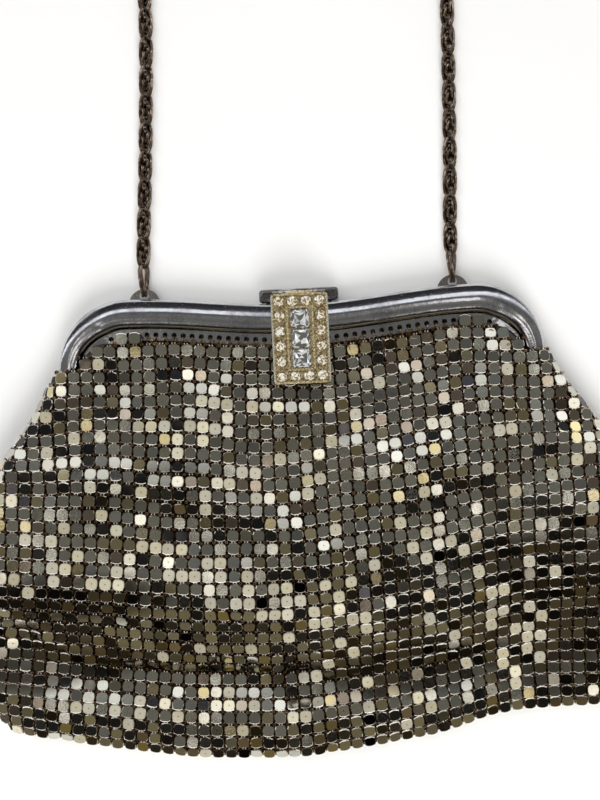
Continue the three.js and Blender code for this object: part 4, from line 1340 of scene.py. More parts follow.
    def _edge_rings(self) -> None:
        """Hang the first row on the frame: one wire ring through each hole of both flanges."""
        shape = Replicas.of("edge_rings", wire_ring(self.edge_wire, self.edge_radius, 6, 14))
        rng = random.Random(4)
        centres, axes = [], []
        for at in hole_stations(self.line):
            place, inwards, _ = self.line.station(at)
            for side in Side:
                for level in self.curl_levels:
                    shift = rng.uniform(-self.curl_chance, self.curl_chance)
                    across = np.array([place.x / self.form.mouth_half + shift])
                    down = self.form.mouth(across) + level + rng.uniform(-0.003, 0.003)
                    spot, turned = self._axes(across, down, side)
                    chance = np.random.default_rng(rng.randrange(9999))
                    turned = self._tilted(turned, chance, self.curl_tilt)
                    centres.append(tuple(spot[0] - turned[0, 2] * self.curl_depth))
                    axes.append([row * self.curl_scale for row in turned[0]])
            for flip in (1.0, -1.0):
                middle = place + inwards * self.edge_inset
                up = Vector((0, 0, flip))
                along = Vector((inwards.x, inwards.y, 0.0))
                aside = up.cross(along)
                swing = rng.uniform(-self.edge_swing, self.edge_swing)
                aside = (aside + along * swing).normalized()
                along = aside.cross(up)
                centres.append((middle.x, middle.y, PARTING_Z + flip * self.edge_off))
                axes.append((along[:], up[:], (-aside)[:]))
        mesh = shape.repeat(np.array(centres), np.array(axes))
        wire = TarnishedWire("edge ring wire", (0.34, 0.2, 0.09), (0.9, 0.74, 0.5), rough=0.08)
        Piece("edge_rings").join(mesh, wire)


def hole_stations(
    line: FrameLine, inset: float = 10.7, pitch: float = 2.75, past: float = 4.5
) -> list[float]:
    """Space the holes evenly along the flange.

    Args:
        line: The frame's outer edge.
        inset: How far inside it the holes are.
        pitch: How far apart they are.
        past: How far they go on round each shoulder.

    Returns:
        The station of each hole.
    """
    first = 1.0 - past / (line.radius - inset) / (math.pi / 2.0)
    fine = np.linspace(first, 4.0 - first, 1200)
    places = []
    for at in fine:
        place, inwards, _ = line.station(float(at))
        places.append(place + inwards * inset)
    steps = [(b - a).length for a, b in zip(places, places[1:])]
    way = np.concatenate([[0.0], np.cumsum(steps)])
    count = round(way[-1] / pitch)
    return [float(at) for at in np.interp(np.linspace(0.0, way[-1], count + 1), way, fine)]


@dataclass
class PurseFrame:
    """The two halves of the frame, with their flanges, hinges, ears and the clasp's bracket."""

    line: FrameLine
    width: float = 9.0
    depth: float = 5.6
    sheet: float = 0.8
    lip: float = 0.2
    flange: float = 3.4
    hole: float = 0.8
    # Steps of the sweep along each arm, and cells of the flange to each hole both ways
    arm_steps: int = 33
    hole_cells: int = 4
    edge_round: float = 0.2
    # Share of the width inwards, share of the depth up
    crown: Table = (
        (0, 0.036), (0, 0.41), (0.03, 0.55), (0.1, 0.675), (0.27, 0.845), (0.42, 0.945), (0.53, 0.98),
        (0.66, 1), (0.8, 0.985), (0.92, 0.92), (0.985, 0.77), (1, 0.6), (1, 0.429),
    )
    # Degrees round the shoulder, shares of the width, of the depth and of the flange
    taper: Table = (
        (-40, 0.61, 0.5, 0.15), (0, 0.66, 0.55, 0.15), (20, 0.76, 0.68, 0.2), (40, 0.9, 0.87, 0.4),
        (60, 1, 1, 0.85), (75, 1, 1, 1), (90, 1, 1, 1),
    )
    hinge_x: float = 70.355
    hinge_y: float = 48.0
    hinge_radius: float = 2.4
    hinge_bore: float = 1.0
    hinge_thick: float = 1.0
    ear_x: float = 47.0
    ear_radius: float = 4.8
    ear_hole_y: float = 78.894
    ear_hole: float = 1.447
    ear_thick: float = 1.0
    clasp_y: float = 76.20084
    clasp_z: float = 9.65

    def build(self) -> None:
        """Build and dress every piece of the frame."""
        for side in Side:
            self._half(side)
        self._hinges()
        self._ears()
        self._bracket()

    def _profile(self) -> list[tuple[float, float]]:
        """Round the crown's section: shares of the width and of the depth."""
        table = np.array(self.crown, float)
        ends = np.vstack([2 * table[0] - table[1], table, 2 * table[-1] - table[-2]])
        points = []
        for i in range(1, len(ends) - 2):
            a, b, c, d = ends[i - 1], ends[i], ends[i + 1], ends[i + 2]
            steps = 1 if i in (1, len(ends) - 3) else 3
            square, cube = 2 * a - 5 * b + 4 * c - d, 3 * b - a - 3 * c + d
            for t in np.linspace(0.0, 1.0, steps, endpoint=False):
                points.append(0.5 * (2 * b + (c - a) * t + square * t**2 + cube * t**3))
        points.append(table[-1])
        return [(float(np.clip(p[0], 0.0, 1.0)), float(p[1])) for p in points]

    def _stations(self, holes: list[float]) -> list[float]:
        """Give the stations of the sweep, the same number to each hole.

        Args:
            holes: The stations of the holes.

        Returns:
            The stations from one arm's end to the other.
        """
        edges = [1.5 * holes[0] - 0.5 * holes[1]]
        edges += [(a + b) / 2.0 for a, b in zip(holes, holes[1:])]
        edges.append(1.5 * holes[-1] - 0.5 * holes[-2])
        inner = []
        for a, b in zip(edges, edges[1:]):
            inner += [a + (b - a) * k / self.hole_cells for k in range(self.hole_cells)]
        inner.append(edges[-1])
        start = list(np.linspace(-1.0, edges[0], self.arm_steps + 1)[:-1])
        return start + inner + [4.0 - at for at in reversed(start)]

    def _half(self, side: Side) -> None:
        """Sweep one half: the rounded crown and its flange with the row of holes.

        Args:
            side: The front or the back.
        """
        piece = Piece(f"frame_{side.value}_shell")
        bm = piece.bm
        holes = hole_stations(self.line)
        stations = self._stations(holes)
        profile = self._profile()
        wide_count, cells = len(profile), self.hole_cells
        angles = [self.line.station(at)[2] for at in stations]
        shares = [soft_table(self.taper, angles, column, 6.0) for column in (1, 2, 3)]

        def place(i: int, j: int) -> Vector:
            """Give one vertex of the sweep."""
            at, inwards, _ = self.line.station(stations[i])
            wide, deep = self.width * shares[0][i], self.depth * shares[1][i]
            if j < wide_count:
                step, up = profile[j][0] * wide, profile[j][1] * deep
                up = self.lip if j == 0 else up
            else:
                step = wide + self.flange * shares[2][i] * (j - wide_count + 1) / cells
                up = profile[-1][1] * deep
            spot = at + inwards * step
            return Vector((spot.x, spot.y, PARTING_Z + up))

        rows = lofted(bm, len(stations), wide_count + cells, place)
        for k, at in enumerate(holes):
            start = self.arm_steps + cells * k
            across = [row[wide_count - 1 : wide_count + cells] for row in rows[start : start + cells + 1]]
            inside = {vert for row in across for vert in row}
            faces = list({f for v in inside for f in v.link_faces if inside.issuperset(f.verts)})
            middle, inwards, _ = self.line.station(at)
            centre = middle + inwards * (self.width + self.flange / 2.0)
            self._pierce(bm, faces, Vector((centre.x, centre.y)))
        loose = [v for v in bm.verts if not v.link_faces]
        bmesh.ops.delete(bm, geom=loose, context="VERTS")
        if sum(f.normal.z * f.calc_area() for f in bm.faces) < 0.0:
            bmesh.ops.reverse_faces(bm, faces=bm.faces[:])
        if side is Side.BACK:
            turn = Matrix.Rotation(math.pi, 3, "Y")
            bmesh.ops.rotate(bm, cent=(0, 0, PARTING_Z), matrix=turn, verts=bm.verts)
        made = piece.finish(
            PolishedFrame(f"polished frame {side.value}"), "polished_frame", [f"frame_{side.value}"], 50.0
        )
        wall = made.modifiers.new("sheet", "SOLIDIFY")
        wall.thickness = self.sheet * MM
        wall.offset = -1.0
        wall.use_even_offset = True
        edge = made.modifiers.new("edge", "BEVEL")
        edge.width = self.edge_round * MM
        edge.segments = 2
        edge.limit_method = "ANGLE"
        edge.angle_limit = math.radians(60.0)
        edge.harden_normals = True

    def _pierce(self, bm: bmesh.types.BMesh, faces: list, centre: Vector) -> None:
        """Cut one round hole.

        Args:
            bm: The mesh.
            faces: The faces round the hole.
            centre: The middle of the hole.
        """
        cell = bmesh.ops.dissolve_faces(bm, faces=faces)["region"]
        bmesh.ops.inset_individual(bm, faces=cell, thickness=0.3)
        for vert in cell[0].verts:
            away = Vector((vert.co.x, vert.co.y)) - centre
            away = away.normalized() * self.hole
            vert.co.x, vert.co.y = centre.x + away.x, centre.y + away.y
        bmesh.ops.delete(bm, geom=cell, context="FACES")

    def _hinges(self) -> None:
        """Make the four hinge plates: a pierced disc and its root on each arm."""
        piece = Piece("hinge_plates")
        bm = piece.bm
        for side in Side:
            for middle in (self.hinge_x, -self.hinge_x):
                low = middle - 1.15 if side is Side.FRONT else middle + 0.15
                verts = self._hinge_plate(bm, low)
                if side is Side.BACK:
                    bmesh.ops.translate(bm, vec=(0, 0, -PARTING_Z), verts=verts)
                    bmesh.ops.scale(bm, vec=(1, 1, -1), verts=verts)
                    bmesh.ops.translate(bm, vec=(0, 0, PARTING_Z), verts=verts)
        piece.turn_out()
        bevelled(bm, sharp_edges(bm, bm.verts[:], 60.0), 0.12)
        piece.finish(DarkSteel("hinge steel"), "polished_frame")

    def _hinge_plate(self, bm: bmesh.types.BMesh, low: float) -> list:
        """Make one hinge plate of the front half.

        Args:
            bm: The mesh.
            low: Where it starts across.

        Returns:
            Its vertices.
        """
        outline = bmesh.ops.create_circle(bm, segments=32, radius=self.hinge_radius)["verts"]
        inner = bmesh.ops.create_circle(bm, segments=16, radius=self.hinge_bore)["verts"]
        edges = list({e for v in outline + inner for e in v.link_edges})
        faces = faces_of(bmesh.ops.triangle_fill(bm, edges=edges)["geom"])
        top = verts_of(bmesh.ops.extrude_face_region(bm, geom=faces)["geom"])
        bmesh.ops.translate(bm, vec=(0, 0, self.hinge_thick), verts=top)
        disc = outline + inner + top
        turn = Matrix.Translation((low, self.hinge_y, PARTING_Z)) @ Matrix.Rotation(math.pi / 2.0, 4, "Y")
        bmesh.ops.transform(bm, matrix=turn, verts=disc)
        root = bmesh.ops.create_cube(bm, size=1.0)["verts"]
        tall = self.depth * 0.5 - self.sheet + 0.2 - 0.3
        bmesh.ops.scale(bm, vec=(0.94, 4.6, tall), verts=root)
        middle = (low + self.hinge_thick / 2.0, self.hinge_y + 4.1, PARTING_Z + 0.3 + tall / 2.0)
        bmesh.ops.translate(bm, vec=middle, verts=root)
        return disc + root

    def _ears(self) -> None:
        """Make the two ears that take the chain."""
        piece = Piece("chain_ears")
        bm = piece.bm
        centre_y = self.line.saddle_y(self.ear_x) - 1.3
        for x in (-self.ear_x, self.ear_x):
            outline = bmesh.ops.create_circle(bm, segments=48, radius=self.ear_radius)["verts"]
            bmesh.ops.translate(bm, vec=(x, centre_y, 0), verts=outline)
            geom = outline + list({e for v in outline for e in v.link_edges})
            cut = bmesh.ops.bisect_plane(
                bm, geom=geom, plane_co=(x, centre_y, 0), plane_no=(0, -1, 0), clear_outer=True
            )["geom_cut"]
            bmesh.ops.contextual_create(bm, geom=verts_of(cut))
            inner = bmesh.ops.create_circle(bm, segments=28, radius=self.ear_hole)["verts"]
            bmesh.ops.translate(bm, vec=(x, self.ear_hole_y, 0), verts=inner)
        bmesh.ops.triangle_fill(bm, edges=bm.edges[:], use_beauty=True, use_dissolve=False)
        bmesh.ops.translate(bm, vec=(0, 0, PARTING_Z - 2.6 - 0.5), verts=bm.verts)
        raised = bmesh.ops.extrude_face_region(bm, geom=bm.faces[:])["geom"]
        bmesh.ops.translate(bm, vec=(0, 0, self.ear_thick), verts=verts_of(raised))
        piece.turn_out()
        bevelled(bm, sharp_edges(bm, bm.verts[:], 60.0), 0.18)
        piece.finish(PolishedFrame("ear metal", (0.42, 0.4, 0.39), (0.16, 0.14, 0.13), 0.2), "polished_frame")

    def _bracket(self) -> None:
        """Make the dark bar behind the clasp, with its foot and its two knuckles."""
        piece = Piece("clasp_bracket")
        bm = piece.bm
        low = PARTING_Z - 2.3
        start = self.line.saddle_y(12.0) + 0.3
        add_box(bm, (-12.0, start, low), (12.0, start + 4.05, low + 3.8), 1.0, 4)
        top = [f for f in bm.faces if f.normal.z > 0.99 and f.calc_area() > 30.0]
        bmesh.ops.inset_region(bm, faces=top, thickness=0.25, depth=0.0)
        bmesh.ops.inset_region(bm, faces=top, thickness=0.12, depth=-0.35)
        add_box(bm, (-10.0, self.line.saddle_y(0.0) - 1.2, low), (10.0, start + 1.5, low + 1.0), 0.15)
        for side in (-1.0, 1.0):
            left, right = sorted((side * 4.3, side * 8.0))
            add_bar(bm, left, right, self.clasp_y, self.clasp_z, 1.7, 0.15)
            add_box(bm, (left, self.clasp_y - 1.1, low + 2.8), (right, self.clasp_y + 1.1, self.clasp_z), 0.1)
        piece.finish(DarkSteel("bracket steel", (0.2, 0.19, 0.19), (0.6, 0.58, 0.56), 0.5), "polished_frame")


@dataclass
class Clasp:
    """The jewelled flap: its gold setting, its grains and its cut stones."""

    width: float = 17.0
    long: float = 27.0
    rim: float = 0.7
    middle_y: float = 63.35
    top_y: float = 76.85
    round_radius: float = 1.4
    round_high: float = 1.05
    round_rows: int = 6
    square_side: float = 5.5
    square_high: float = 1.15
    square_pitch: float = 5.9
    lift: float = 0.1
    # How far the grains stay from the flap's edge, and half of the channel across and along
    grain_edge: float = 0.75
    channel: tuple[float, float] = (4.75, 10.2)
    seed: int = 3

    def build(self) -> None:
        """Build the stones and the grains."""
        spots = self.round_spots()
        self._rhinestones(spots)
        self._squares()
        self._grains(spots)

    def round_spots(self) -> list[tuple[float, float]]:
        """Give the middle of each round stone."""
        across = self.width / 2.0 - self.rim - 0.3 - self.round_radius
        inset = self.rim + 0.2 + self.round_radius
        pitch = (self.long - 2.0 * inset) / (self.round_rows - 1)
        spots = []
        for row in range(self.round_rows):
            y = self.top_y - inset - row * pitch
            shares = (-1, -1 / 3, 1 / 3, 1) if row in (0, self.round_rows - 1) else (-1, 1)
            spots += [(across * share, y) for share in shares]
        return spots

    def _stone(
        self, bm: bmesh.types.BMesh, rings: Sequence[tuple[int, float, float, float]], x: float, y: float,
        shape: float, turn: float,
    ) -> None:
        """Cut one stone as the hull of rings of points.

        Args:
            bm: The mesh.
            rings: How many points each ring has, its radius, its height and its turn in steps.
            x: The stone's place across.
            y: The stone's place along.
            shape: 2 for a round stone, more for a squarer one.
            turn: How far the stone is turned, in degrees.
        """
        verts = []
        for count, radius, high, step in rings:
            ring = bmesh.ops.create_circle(bm, segments=count, radius=1.0)["verts"]
            for vert in ring:
                angle = math.atan2(vert.co.y, vert.co.x) + step * 2.0 * math.pi / count
                reach = rounded_square(angle, shape) * radius
                angle += math.radians(turn)
                z = FLAP_BED + self.lift + high
                vert.co = Vector((x + reach * math.cos(angle), y + reach * math.sin(angle), z))
            verts += ring
        loose = list({e for v in verts for e in v.link_edges})
        bmesh.ops.delete(bm, geom=loose, context="EDGES_FACES")
        bmesh.ops.convex_hull(bm, input=verts)

    def _toned(self, piece: Piece, finish: Finish, nodes: list[str], chance: int) -> None:
        """Give each facet a tone and finish the piece.

        Args:
            piece: The stones.
            finish: Their finish.
            nodes: The nodes that they stand for.
            chance: The seed of the tones.
        """
        rng = random.Random(chance)
        made = piece.finish(finish, "crystal", nodes, None)
        tones = [rng.random() for _ in made.data.polygons]
        made.data.attributes.new("facet_tone", "FLOAT", "FACE").data.foreach_set("value", tones)

    def _rhinestones(self, spots: list[tuple[float, float]]) -> None:
        """Cut the sixteen round stones."""
        piece = Piece("rhinestones", Body.FLAP)
        rng = random.Random(self.seed)
        r, high = self.round_radius, self.round_high
        for x, y in spots:
            rings = (
                (8, r * 0.5, high, 0.0), (8, r * 0.8, high * 0.84, 0.5), (16, r * 1.08, high * 0.55, 0.0),
                (16, r * 1.08, high * 0.46, 0.0), (8, r * 0.7, 0.0, 0.0),
            )
            self._stone(piece.bm, rings, x, y, 2.0, rng.uniform(0.0, 45.0))
        piece.turn_out()
        nodes = [f"rhinestone_{k + 1:02d}" for k in range(len(spots))]
        self._toned(piece, CutGlass("cream crystal"), nodes, 5)

    def _squares(self) -> None:
        """Cut the three square stones."""
        piece = Piece("square_stones", Body.FLAP)
        half, high = self.square_side / 2.0, self.square_high
        for k in range(3):
            y = self.middle_y + (1 - k) * self.square_pitch
            rings = (
                (4, half * 0.3, high, 0.0), (8, half * 0.62, high * 0.93, 0.0),
                (24, half * 0.86, high * 0.72, 0.5), (24, half, high * 0.5, 0.5), (24, half, high * 0.4, 0.5),
                (24, half * 0.7, 0.0, 0.5),
            )
            self._stone(piece.bm, rings, 0.0, y, 9.0, 0.0)
        piece.turn_out()
        glass = CutGlass("clear crystal", (0.82, 0.83, 0.81), (0.13, 0.13, 0.125), 0.5)
        self._toned(piece, glass, [f"square_stone_{k + 1}" for k in range(3)], 9)

    def _grains(self, spots: list[tuple[float, float]]) -> None:
        """Raise the small grains of metal that hold the stones."""
        piece = Piece("setting_grains", Body.FLAP)
        bm = piece.bm
        rng = random.Random(self.seed)
        placed = []
        for x, y in spots:
            for k in range(6):
                angle = k * math.pi / 3.0 + 0.5
                reach = self.round_radius + 0.33
                spot = (x + reach * math.cos(angle), y + reach * math.sin(angle))
                if self._free(spot, placed, spots):
                    placed.append(spot)
        for x, y in placed:
            radius = rng.uniform(0.26, 0.34)
            ball = bmesh.ops.create_uvsphere(bm, u_segments=10, v_segments=8, radius=radius)["verts"]
            bmesh.ops.scale(bm, vec=(1, 1, 1.6), verts=ball)
            bmesh.ops.translate(bm, vec=(x, y, FLAP_BED + 0.45), verts=ball)
        piece.finish(WornGold("grain gold"), "gold_setting")

    def _free(self, spot: tuple[float, float], placed: list, stones: list) -> bool:
        """Tell whether a grain has room: on the setting, off its channel, its stones and the other grains.

        Args:
            spot: The grain's middle.
            placed: The grains that are there.
            stones: The middles of the round stones.

        Returns:
            Whether it fits.
        """
        across, along = abs(spot[0]), abs(spot[1] - self.middle_y)
        inside = across < self.width / 2.0 - self.grain_edge and along < self.long / 2.0 - self.grain_edge
        beside = across > self.channel[0] or along > self.channel[1]
        apart = all(math.hypot(spot[0] - a, spot[1] - b) > 0.7 for a, b in placed)
        clear = all(math.hypot(spot[0] - a, spot[1] - b) > self.round_radius + 0.2 for a, b in stones)
        return inside and beside and apart and clear


@dataclass
class Chain:
    """The handle chain: twisted ovals of doubled wire, each set crosswise into the next."""

    pitch: float = 8.65
    half_wide: float = 1.72
    wire: float = 0.5
    apart: float = 0.42
    overlap: float = 0.749
    # Heights at the ears and on the floor, and the length over which the chain sinks to it
    ear_z: float = 3.1
    rest_z: float = 1.92
    rise: float = 14.0
    # The small ovals in each link: place along and turn in degrees, then their sizes and their wire's share
    small_ovals: Table = ((-2.6, 8.0), (-1.3, 60.0), (0.0, 115.0), (1.3, -8.0), (2.6, 48.0))
    small_long: float = 1.75
    small_wide: float = 1.25
    small_slant: float = 34.0
    small_twist: float = 15.0
    small_half: float = 2.6
    small_squash: float = 0.86
    small_share: float = 0.86
    # The share of the wire's radius that a link of it has, and the powers that square its ends off
    wire_share: float = 0.94
    oval_powers: tuple[float, float] = (0.72, 0.62)
    # The smooth way: its points, the length up to each, and the direction there
    places: np.ndarray = field(init=False)
    lengths: np.ndarray = field(init=False)
    tangents: np.ndarray = field(init=False)
    # The way that the chain lies, from ear to ear: x, y
    way: Table = (
        (-47, 78.894), (-46.8, 92), (-44.8, 122), (-42.9, 160), (-42.2, 190), (-36, 215), (-19, 235.5),
        (3.5, 242), (26, 235.5), (43, 215), (49.6, 190), (49.4, 160), (48.4, 124), (47.2, 94), (47, 78.894),
    )

    def build(self) -> None:
        """Build and dress the chain."""
        self._lay_way()
        total = self.lengths[-1]
        count = round((total - self.overlap) / self.pitch)
        step = (total - self.overlap) / count
        half = (step + self.overlap) / 2.0
        piece = Piece("chain_wire")
        for k in range(count):
            turns = (90.0 if k == 0 else -45.0, -90.0 if k == count - 1 else 45.0)
            for off in (-self.apart, self.apart):
                self._oval(piece.bm, half + k * step, half, turns, off)
            if 0 < k < count - 1:
                for shift, turn in self.small_ovals:
                    self._small_oval(piece.bm, half + k * step + shift, turn)
        bmesh.ops.remove_doubles(piece.bm, verts=piece.bm.verts, dist=0.0005)
        piece.turn_out()
        bronze = TarnishedWire("chain bronze", (0.14, 0.098, 0.072), (0.62, 0.5, 0.4), 700.0, 0.12)
        piece.finish(bronze, "bronze_chain", ["chain"], 60.0)
        LOG.info("the chain's way is %.1f mm long", total)

    def _lay_way(self) -> None:
        """Lay a smooth curve through the points of the way, as the solid chain does."""
        points = [np.array(p, float) for p in self.way]
        points = [2 * points[0] - points[1], *points, 2 * points[-1] - points[-2]]
        places = []
        for i in range(1, len(points) - 2):
            a, b, c, d = points[i - 1 : i + 3]
            t0, t1, t2 = (math.sqrt(np.linalg.norm(q - p)) for p, q in ((a, b), (b, c), (c, d)))
            m1 = ((b - a) / t0 - (c - a) / (t0 + t1) + (c - b) / t1) * t1
            m2 = ((c - b) / t1 - (d - b) / (t1 + t2) + (d - c) / t2) * t1
            for t in np.linspace(0.0, 1.0, 140, endpoint=False):
                places.append(
                    (2 * t**3 - 3 * t**2 + 1) * b + (t**3 - 2 * t**2 + t) * m1
                    + (3 * t**2 - 2 * t**3) * c + (t**3 - t**2) * m2
                )
        places.append(points[-2])
        self.places = np.array(places)
        steps = np.linalg.norm(np.diff(self.places, axis=0), axis=1)
        self.lengths = np.concatenate([[0.0], np.cumsum(steps)])
        self.tangents = np.gradient(self.places, self.lengths, axis=0)

    def _on_way(
        self, along: float, aside: float, off: float, centre: float, half: float, turns: tuple[float, float]
    ) -> Vector:
        """Give a point of a link laid on the way.

        Args:
            along: The place along the link.
            aside: The place to the side, in the link's plane.
            off: The place out of that plane.
            centre: The link's middle along the way.
            half: Half the link's length.
            turns: The link's turn at its two ends, in degrees.

        Returns:
            The point, in mm.
        """
        total = self.lengths[-1]
        at = centre + along
        share = min(max(at, 0.0), total)
        beyond = at - share
        place = [np.interp(share, self.lengths, self.places[:, k]) for k in (0, 1)]
        tangent = Vector([np.interp(share, self.lengths, self.tangents[:, k]) for k in (0, 1)]).normalized()
        turn = math.radians(turns[0] + (turns[1] - turns[0]) * (along + half) / (2.0 * half))
        sideways = aside * math.cos(turn) - off * math.sin(turn)
        up = aside * math.sin(turn) + off * math.cos(turn)
        near = min(at, total - at)
        lift = (self.ear_z - self.rest_z) * float(soft_step(np.array(self.rise - near), 0.0, self.rise))
        return Vector((
            place[0] + tangent.x * beyond - tangent.y * sideways,
            place[1] + tangent.y * beyond + tangent.x * sideways,
            self.rest_z + lift + up,
        ))

    def _small_oval(self, bm: bmesh.types.BMesh, centre: float, turn: float) -> None:
        """Make one slanting small oval that fills a link.

        Args:
            bm: The mesh.
            centre: Its middle along the way.
            turn: The turn of its plane, in degrees.
        """
        steps, sides = 18, 6
        slant = math.radians(self.small_slant)
        radius = self.wire * self.small_share

        def place(i: int, j: int) -> Vector:
            """Give one vertex of the wire."""
            angle = 2.0 * math.pi * (i % steps) / steps
            round_wire = 2.0 * math.pi * (j % sides) / sides
            out = radius * math.cos(round_wire)
            long = (self.small_long + out) * math.cos(angle)
            wide = (self.small_wide + out) * math.sin(angle)
            along = long * math.cos(slant) - wide * math.sin(slant)
            aside = (long * math.sin(slant) + wide * math.cos(slant)) * self.small_squash
            off = radius * math.sin(round_wire)
            turns = (turn - self.small_twist, turn + self.small_twist)
            return self._on_way(along, aside, off, centre, self.small_half, turns)

        lofted(bm, steps + 1, sides + 1, place)

    def _oval(
        self, bm: bmesh.types.BMesh, centre: float, half: float, turns: tuple[float, float], off: float
    ) -> None:
        """Make one closed oval of round wire.

        Args:
            bm: The mesh.
            centre: The link's middle along the way.
            half: Half the link's length.
            turns: The link's turn at its two ends, in degrees.
            off: How far the wire lies off the link's plane.
        """
        steps, sides = 26, 7
        radius = self.wire * self.wire_share
        flat = []
        for k in range(steps):
            angle = 2.0 * math.pi * k / steps
            cos, sin = math.cos(angle), math.sin(angle)
            long = math.copysign(abs(cos) ** self.oval_powers[0], cos) * (half - 0.02)
            wide = math.copysign(abs(sin) ** self.oval_powers[1], sin) * self.half_wide
            flat.append(Vector((long, wide)))

        def place(i: int, j: int) -> Vector:
            """Give one vertex of the wire."""
            here, before, after = flat[i % steps], flat[(i - 1) % steps], flat[(i + 1) % steps]
            way = (after - before).normalized()
            out = Vector((way.y, -way.x))
            angle = 2.0 * math.pi * (j % sides) / sides
            spot = here + out * (radius * math.cos(angle))
            return self._on_way(spot.x, spot.y, off + radius * math.sin(angle), centre, half, turns)

        lofted(bm, steps + 1, sides + 1, place)


@dataclass
class CarriedNodes:
    """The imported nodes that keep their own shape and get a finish."""

    finishes: tuple[tuple[str, Finish], ...] = (
        ("clasp_flap", WornGold("setting gold")),
        ("clasp_pin", DarkSteel("pin steel", wear_from=0.4)),
        ("hinge_rivet_left", DarkSteel("left rivet steel", wear_from=0.45)),
        ("hinge_rivet_right", DarkSteel("right rivet steel", wear_from=0.45)),
    )

    def build(self, nodes: dict[str, bpy.types.Object]) -> None:
        """Dress the kept nodes."""
        for name, finish in self.finishes:
            node = nodes[name]
            node.data.materials.clear()
            node.data.materials.append(finish.dress())
            LOG.info("%s: kept and dressed", name)


@dataclass(frozen=True)
class PaleFloor(Finish):
    """The plain pale surface that the purse lies on."""

    low: Colour = (0.93, 0.925, 0.915)
    high: Colour = (0.96, 0.96, 0.955)

    def paint(self, graph: Graph) -> None:
        """Add the nodes of this finish."""
        tone = graph.noise(graph.place(), 9.0, 3.0)
        graph.surface(Base_Color=graph.mixed(tone, self.low, self.high), Roughness=0.9)


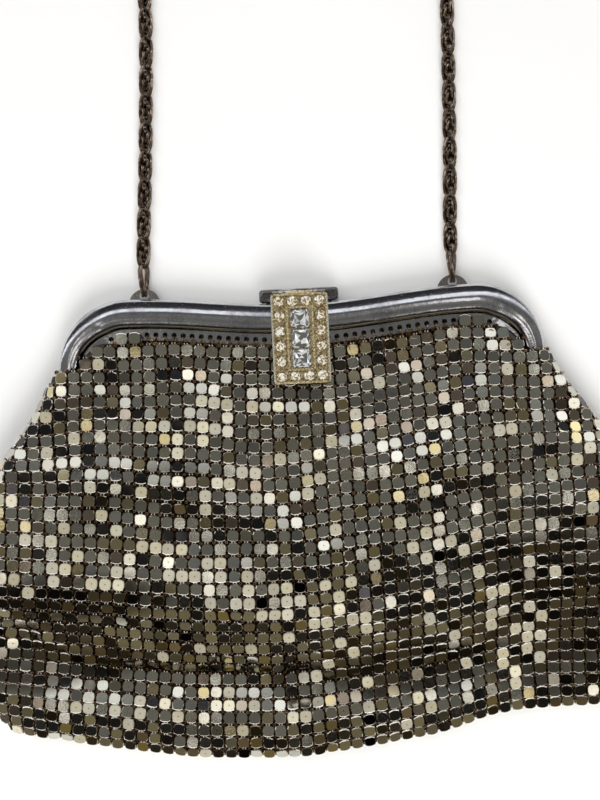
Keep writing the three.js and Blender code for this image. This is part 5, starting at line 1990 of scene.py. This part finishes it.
@dataclass
class Studio:
    """The floor, the lights, the room seen in the metal, and the camera."""

    camera_at: Place = (-1.1, 45.0, 420.0)
    roll: float = -2.7
    lens: float = 61.5
    # Angle from overhead towards the chain, brightness, tint. The pouch's side is negative.
    room: tuple[tuple[float, float, Colour], ...] = (
        (-90, 0.3, (1.0, 0.88, 0.6)), (-79, 0.24, (1.0, 0.86, 0.55)), (-75, 0.04, (1.0, 0.8, 0.6)),
        (-63, 0.03, (1.0, 0.8, 0.6)), (-59, 0.27, (1.0, 0.85, 0.5)), (-43, 0.24, (1.0, 0.87, 0.54)),
        (-38, 0.02, (1.0, 0.9, 0.85)), (-21, 0.02, (1.0, 0.9, 0.85)), (-17, 0.18, (1.0, 0.97, 0.9)),
        (0, 0.2, (1.0, 0.99, 0.91)), (20, 0.2, (1.0, 0.99, 0.92)), (31, 0.15, (0.97, 0.97, 1.0)),
        (36, 0.3, (0.93, 0.96, 1.0)), (41, 1.6, (0.95, 0.97, 1.0)), (52, 2.0, (0.95, 0.97, 1.0)),
        (56, 0.05, (0.9, 0.9, 1.0)), (84, 0.03, (0.9, 0.9, 1.0)), (88, 1.2, (1.0, 1.0, 1.0)),
    )
    # Lamps overhead: place across and along on the dome, radius in degrees, brightness
    lamps: Table = (
        (0.2, -0.27, 4.6, 2.0), (-0.22, -0.25, 5.0, 2.0), (0.4, -0.22, 5.0, 2.0), (-0.44, -0.18, 5.2, 2.0),
        (0.34, 0.16, 4.0, 2.0), (-0.33, 0.2, 4.4, 2.0), (0.56, -0.02, 5.0, 1.8), (-0.56, 0.02, 5.0, 1.8),
        (0.12, 0.33, 3.2, 1.8), (0.27, -0.07, 2.6, 2.0), (-0.2, 0.07, 2.6, 2.0),
    )
    brightest: float = 2.0
    lamp_tint: Colour = (1.0, 0.98, 0.94)
    # Share of a lamp's radius that is at full brightness
    lamp_core: float = 0.68
    # Soft lights: name, place in metres, size and power
    lights: tuple[tuple[str, Place, float, float], ...] = (
        ("soft key", (0.1, -0.5, 0.62), 0.55, 5.6), ("soft fill", (-0.35, 0.3, 0.9), 1.1, 4.6),
    )
    # How far the bands' edges wander, and how far they slant from left to right
    band_wander: float = 0.05
    band_slant: float = 0.09

    def build(self) -> None:
        """Build the studio."""
        self._camera()
        self._floor()
        self._lights()
        self._room()
        bpy.context.scene.view_settings.view_transform = "Standard"

    def _camera(self) -> None:
        """Hang the camera straight above the purse, as in the photograph."""
        camera = bpy.data.objects.new("camera", bpy.data.cameras.new("camera"))
        camera.data.lens = self.lens
        camera.data.clip_start = 0.01
        camera.location = Vector(self.camera_at) * MM
        camera.rotation_euler = (0.0, 0.0, math.radians(self.roll))
        bpy.context.scene.collection.objects.link(camera)
        bpy.context.scene.camera = camera

    def _floor(self) -> None:
        """Lay the plain pale floor."""
        bm = bmesh.new()
        bmesh.ops.create_grid(bm, x_segments=2, y_segments=2, size=1.6)
        mesh = bpy.data.meshes.new("floor")
        bm.to_mesh(mesh)
        bm.free()
        floor = bpy.data.objects.new("floor", mesh)
        bpy.context.scene.collection.objects.link(floor)
        mesh.materials.append(PaleFloor("pale floor").dress())

    def _lights(self) -> None:
        """Set the soft lights, which the metal doesn't mirror."""
        for name, place, size, power in self.lights:
            data = bpy.data.lights.new(name, "AREA")
            data.size = size
            data.energy = power
            light = bpy.data.objects.new(name, data)
            light.location = place
            aim = Vector((0.0, 0.05, 0.0)) - Vector(place)
            light.rotation_euler = aim.to_track_quat("-Z", "Y").to_euler()
            light.visible_glossy = False
            bpy.context.scene.collection.objects.link(light)

    def _room(self) -> None:
        """Paint the room that the metal mirrors, as bands over the purse with cloudy edges."""
        world = bpy.data.worlds.new("room")
        world.use_nodes = True
        bpy.context.scene.world = world
        graph = Graph(world.node_tree)
        way = graph.node("ShaderNodeTexCoord", output="Generated")
        x, y, z = graph.parts(way)
        clouds = graph.noise(way, 2.6, 3.0, 0.6)
        up = graph.maths("MAXIMUM", z, 0.0)
        angle = graph.maths("ARCTAN2", y, up) / math.pi + 0.5
        angle = angle + (clouds - 0.5) * self.band_wander - x * self.band_slant
        stops = tuple(
            (degrees / 180.0 + 0.5, tuple(c * bright / self.brightest for c in tint))
            for degrees, bright, tint in self.room
        )
        colour = graph.ramp(angle, stops)
        shade = graph.eased(graph.noise(way, 5.0, 2.0), 0.3, 0.7, 0.72, 1.15)
        for across, along, radius, bright in self.lamps:
            aim = Vector((across, along, math.sqrt(1.0 - across**2 - along**2)))
            dot = {"operation": "DOT_PRODUCT"}
            facing = graph.node("ShaderNodeVectorMath", dot, {0: way, 1: aim}, "Value")
            rim, core = (math.cos(math.radians(degrees)) for degrees in (radius, radius * self.lamp_core))
            tint = tuple(c * bright / self.brightest for c in self.lamp_tint)
            colour = graph.mixed(graph.eased(facing, rim, core), colour, tint)
        sockets = {"Color": colour, "Strength": shade * self.brightest}
        light = graph.node("ShaderNodeBackground", inputs=sockets)
        graph.node("ShaderNodeOutputWorld", inputs={"Surface": light})


def main() -> None:
    """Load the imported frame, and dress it."""
    logging.basicConfig(level=logging.INFO, format="%(message)s")
    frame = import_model()
    line = FrameLine()
    form = PouchForm(line)
    Studio().build()
    MeshCloth(form, line).build()
    PurseFrame(line).build()
    Clasp().build()
    Chain().build()
    CarriedNodes().build(frame["nodes"])


if __name__ == "__main__":
    main()
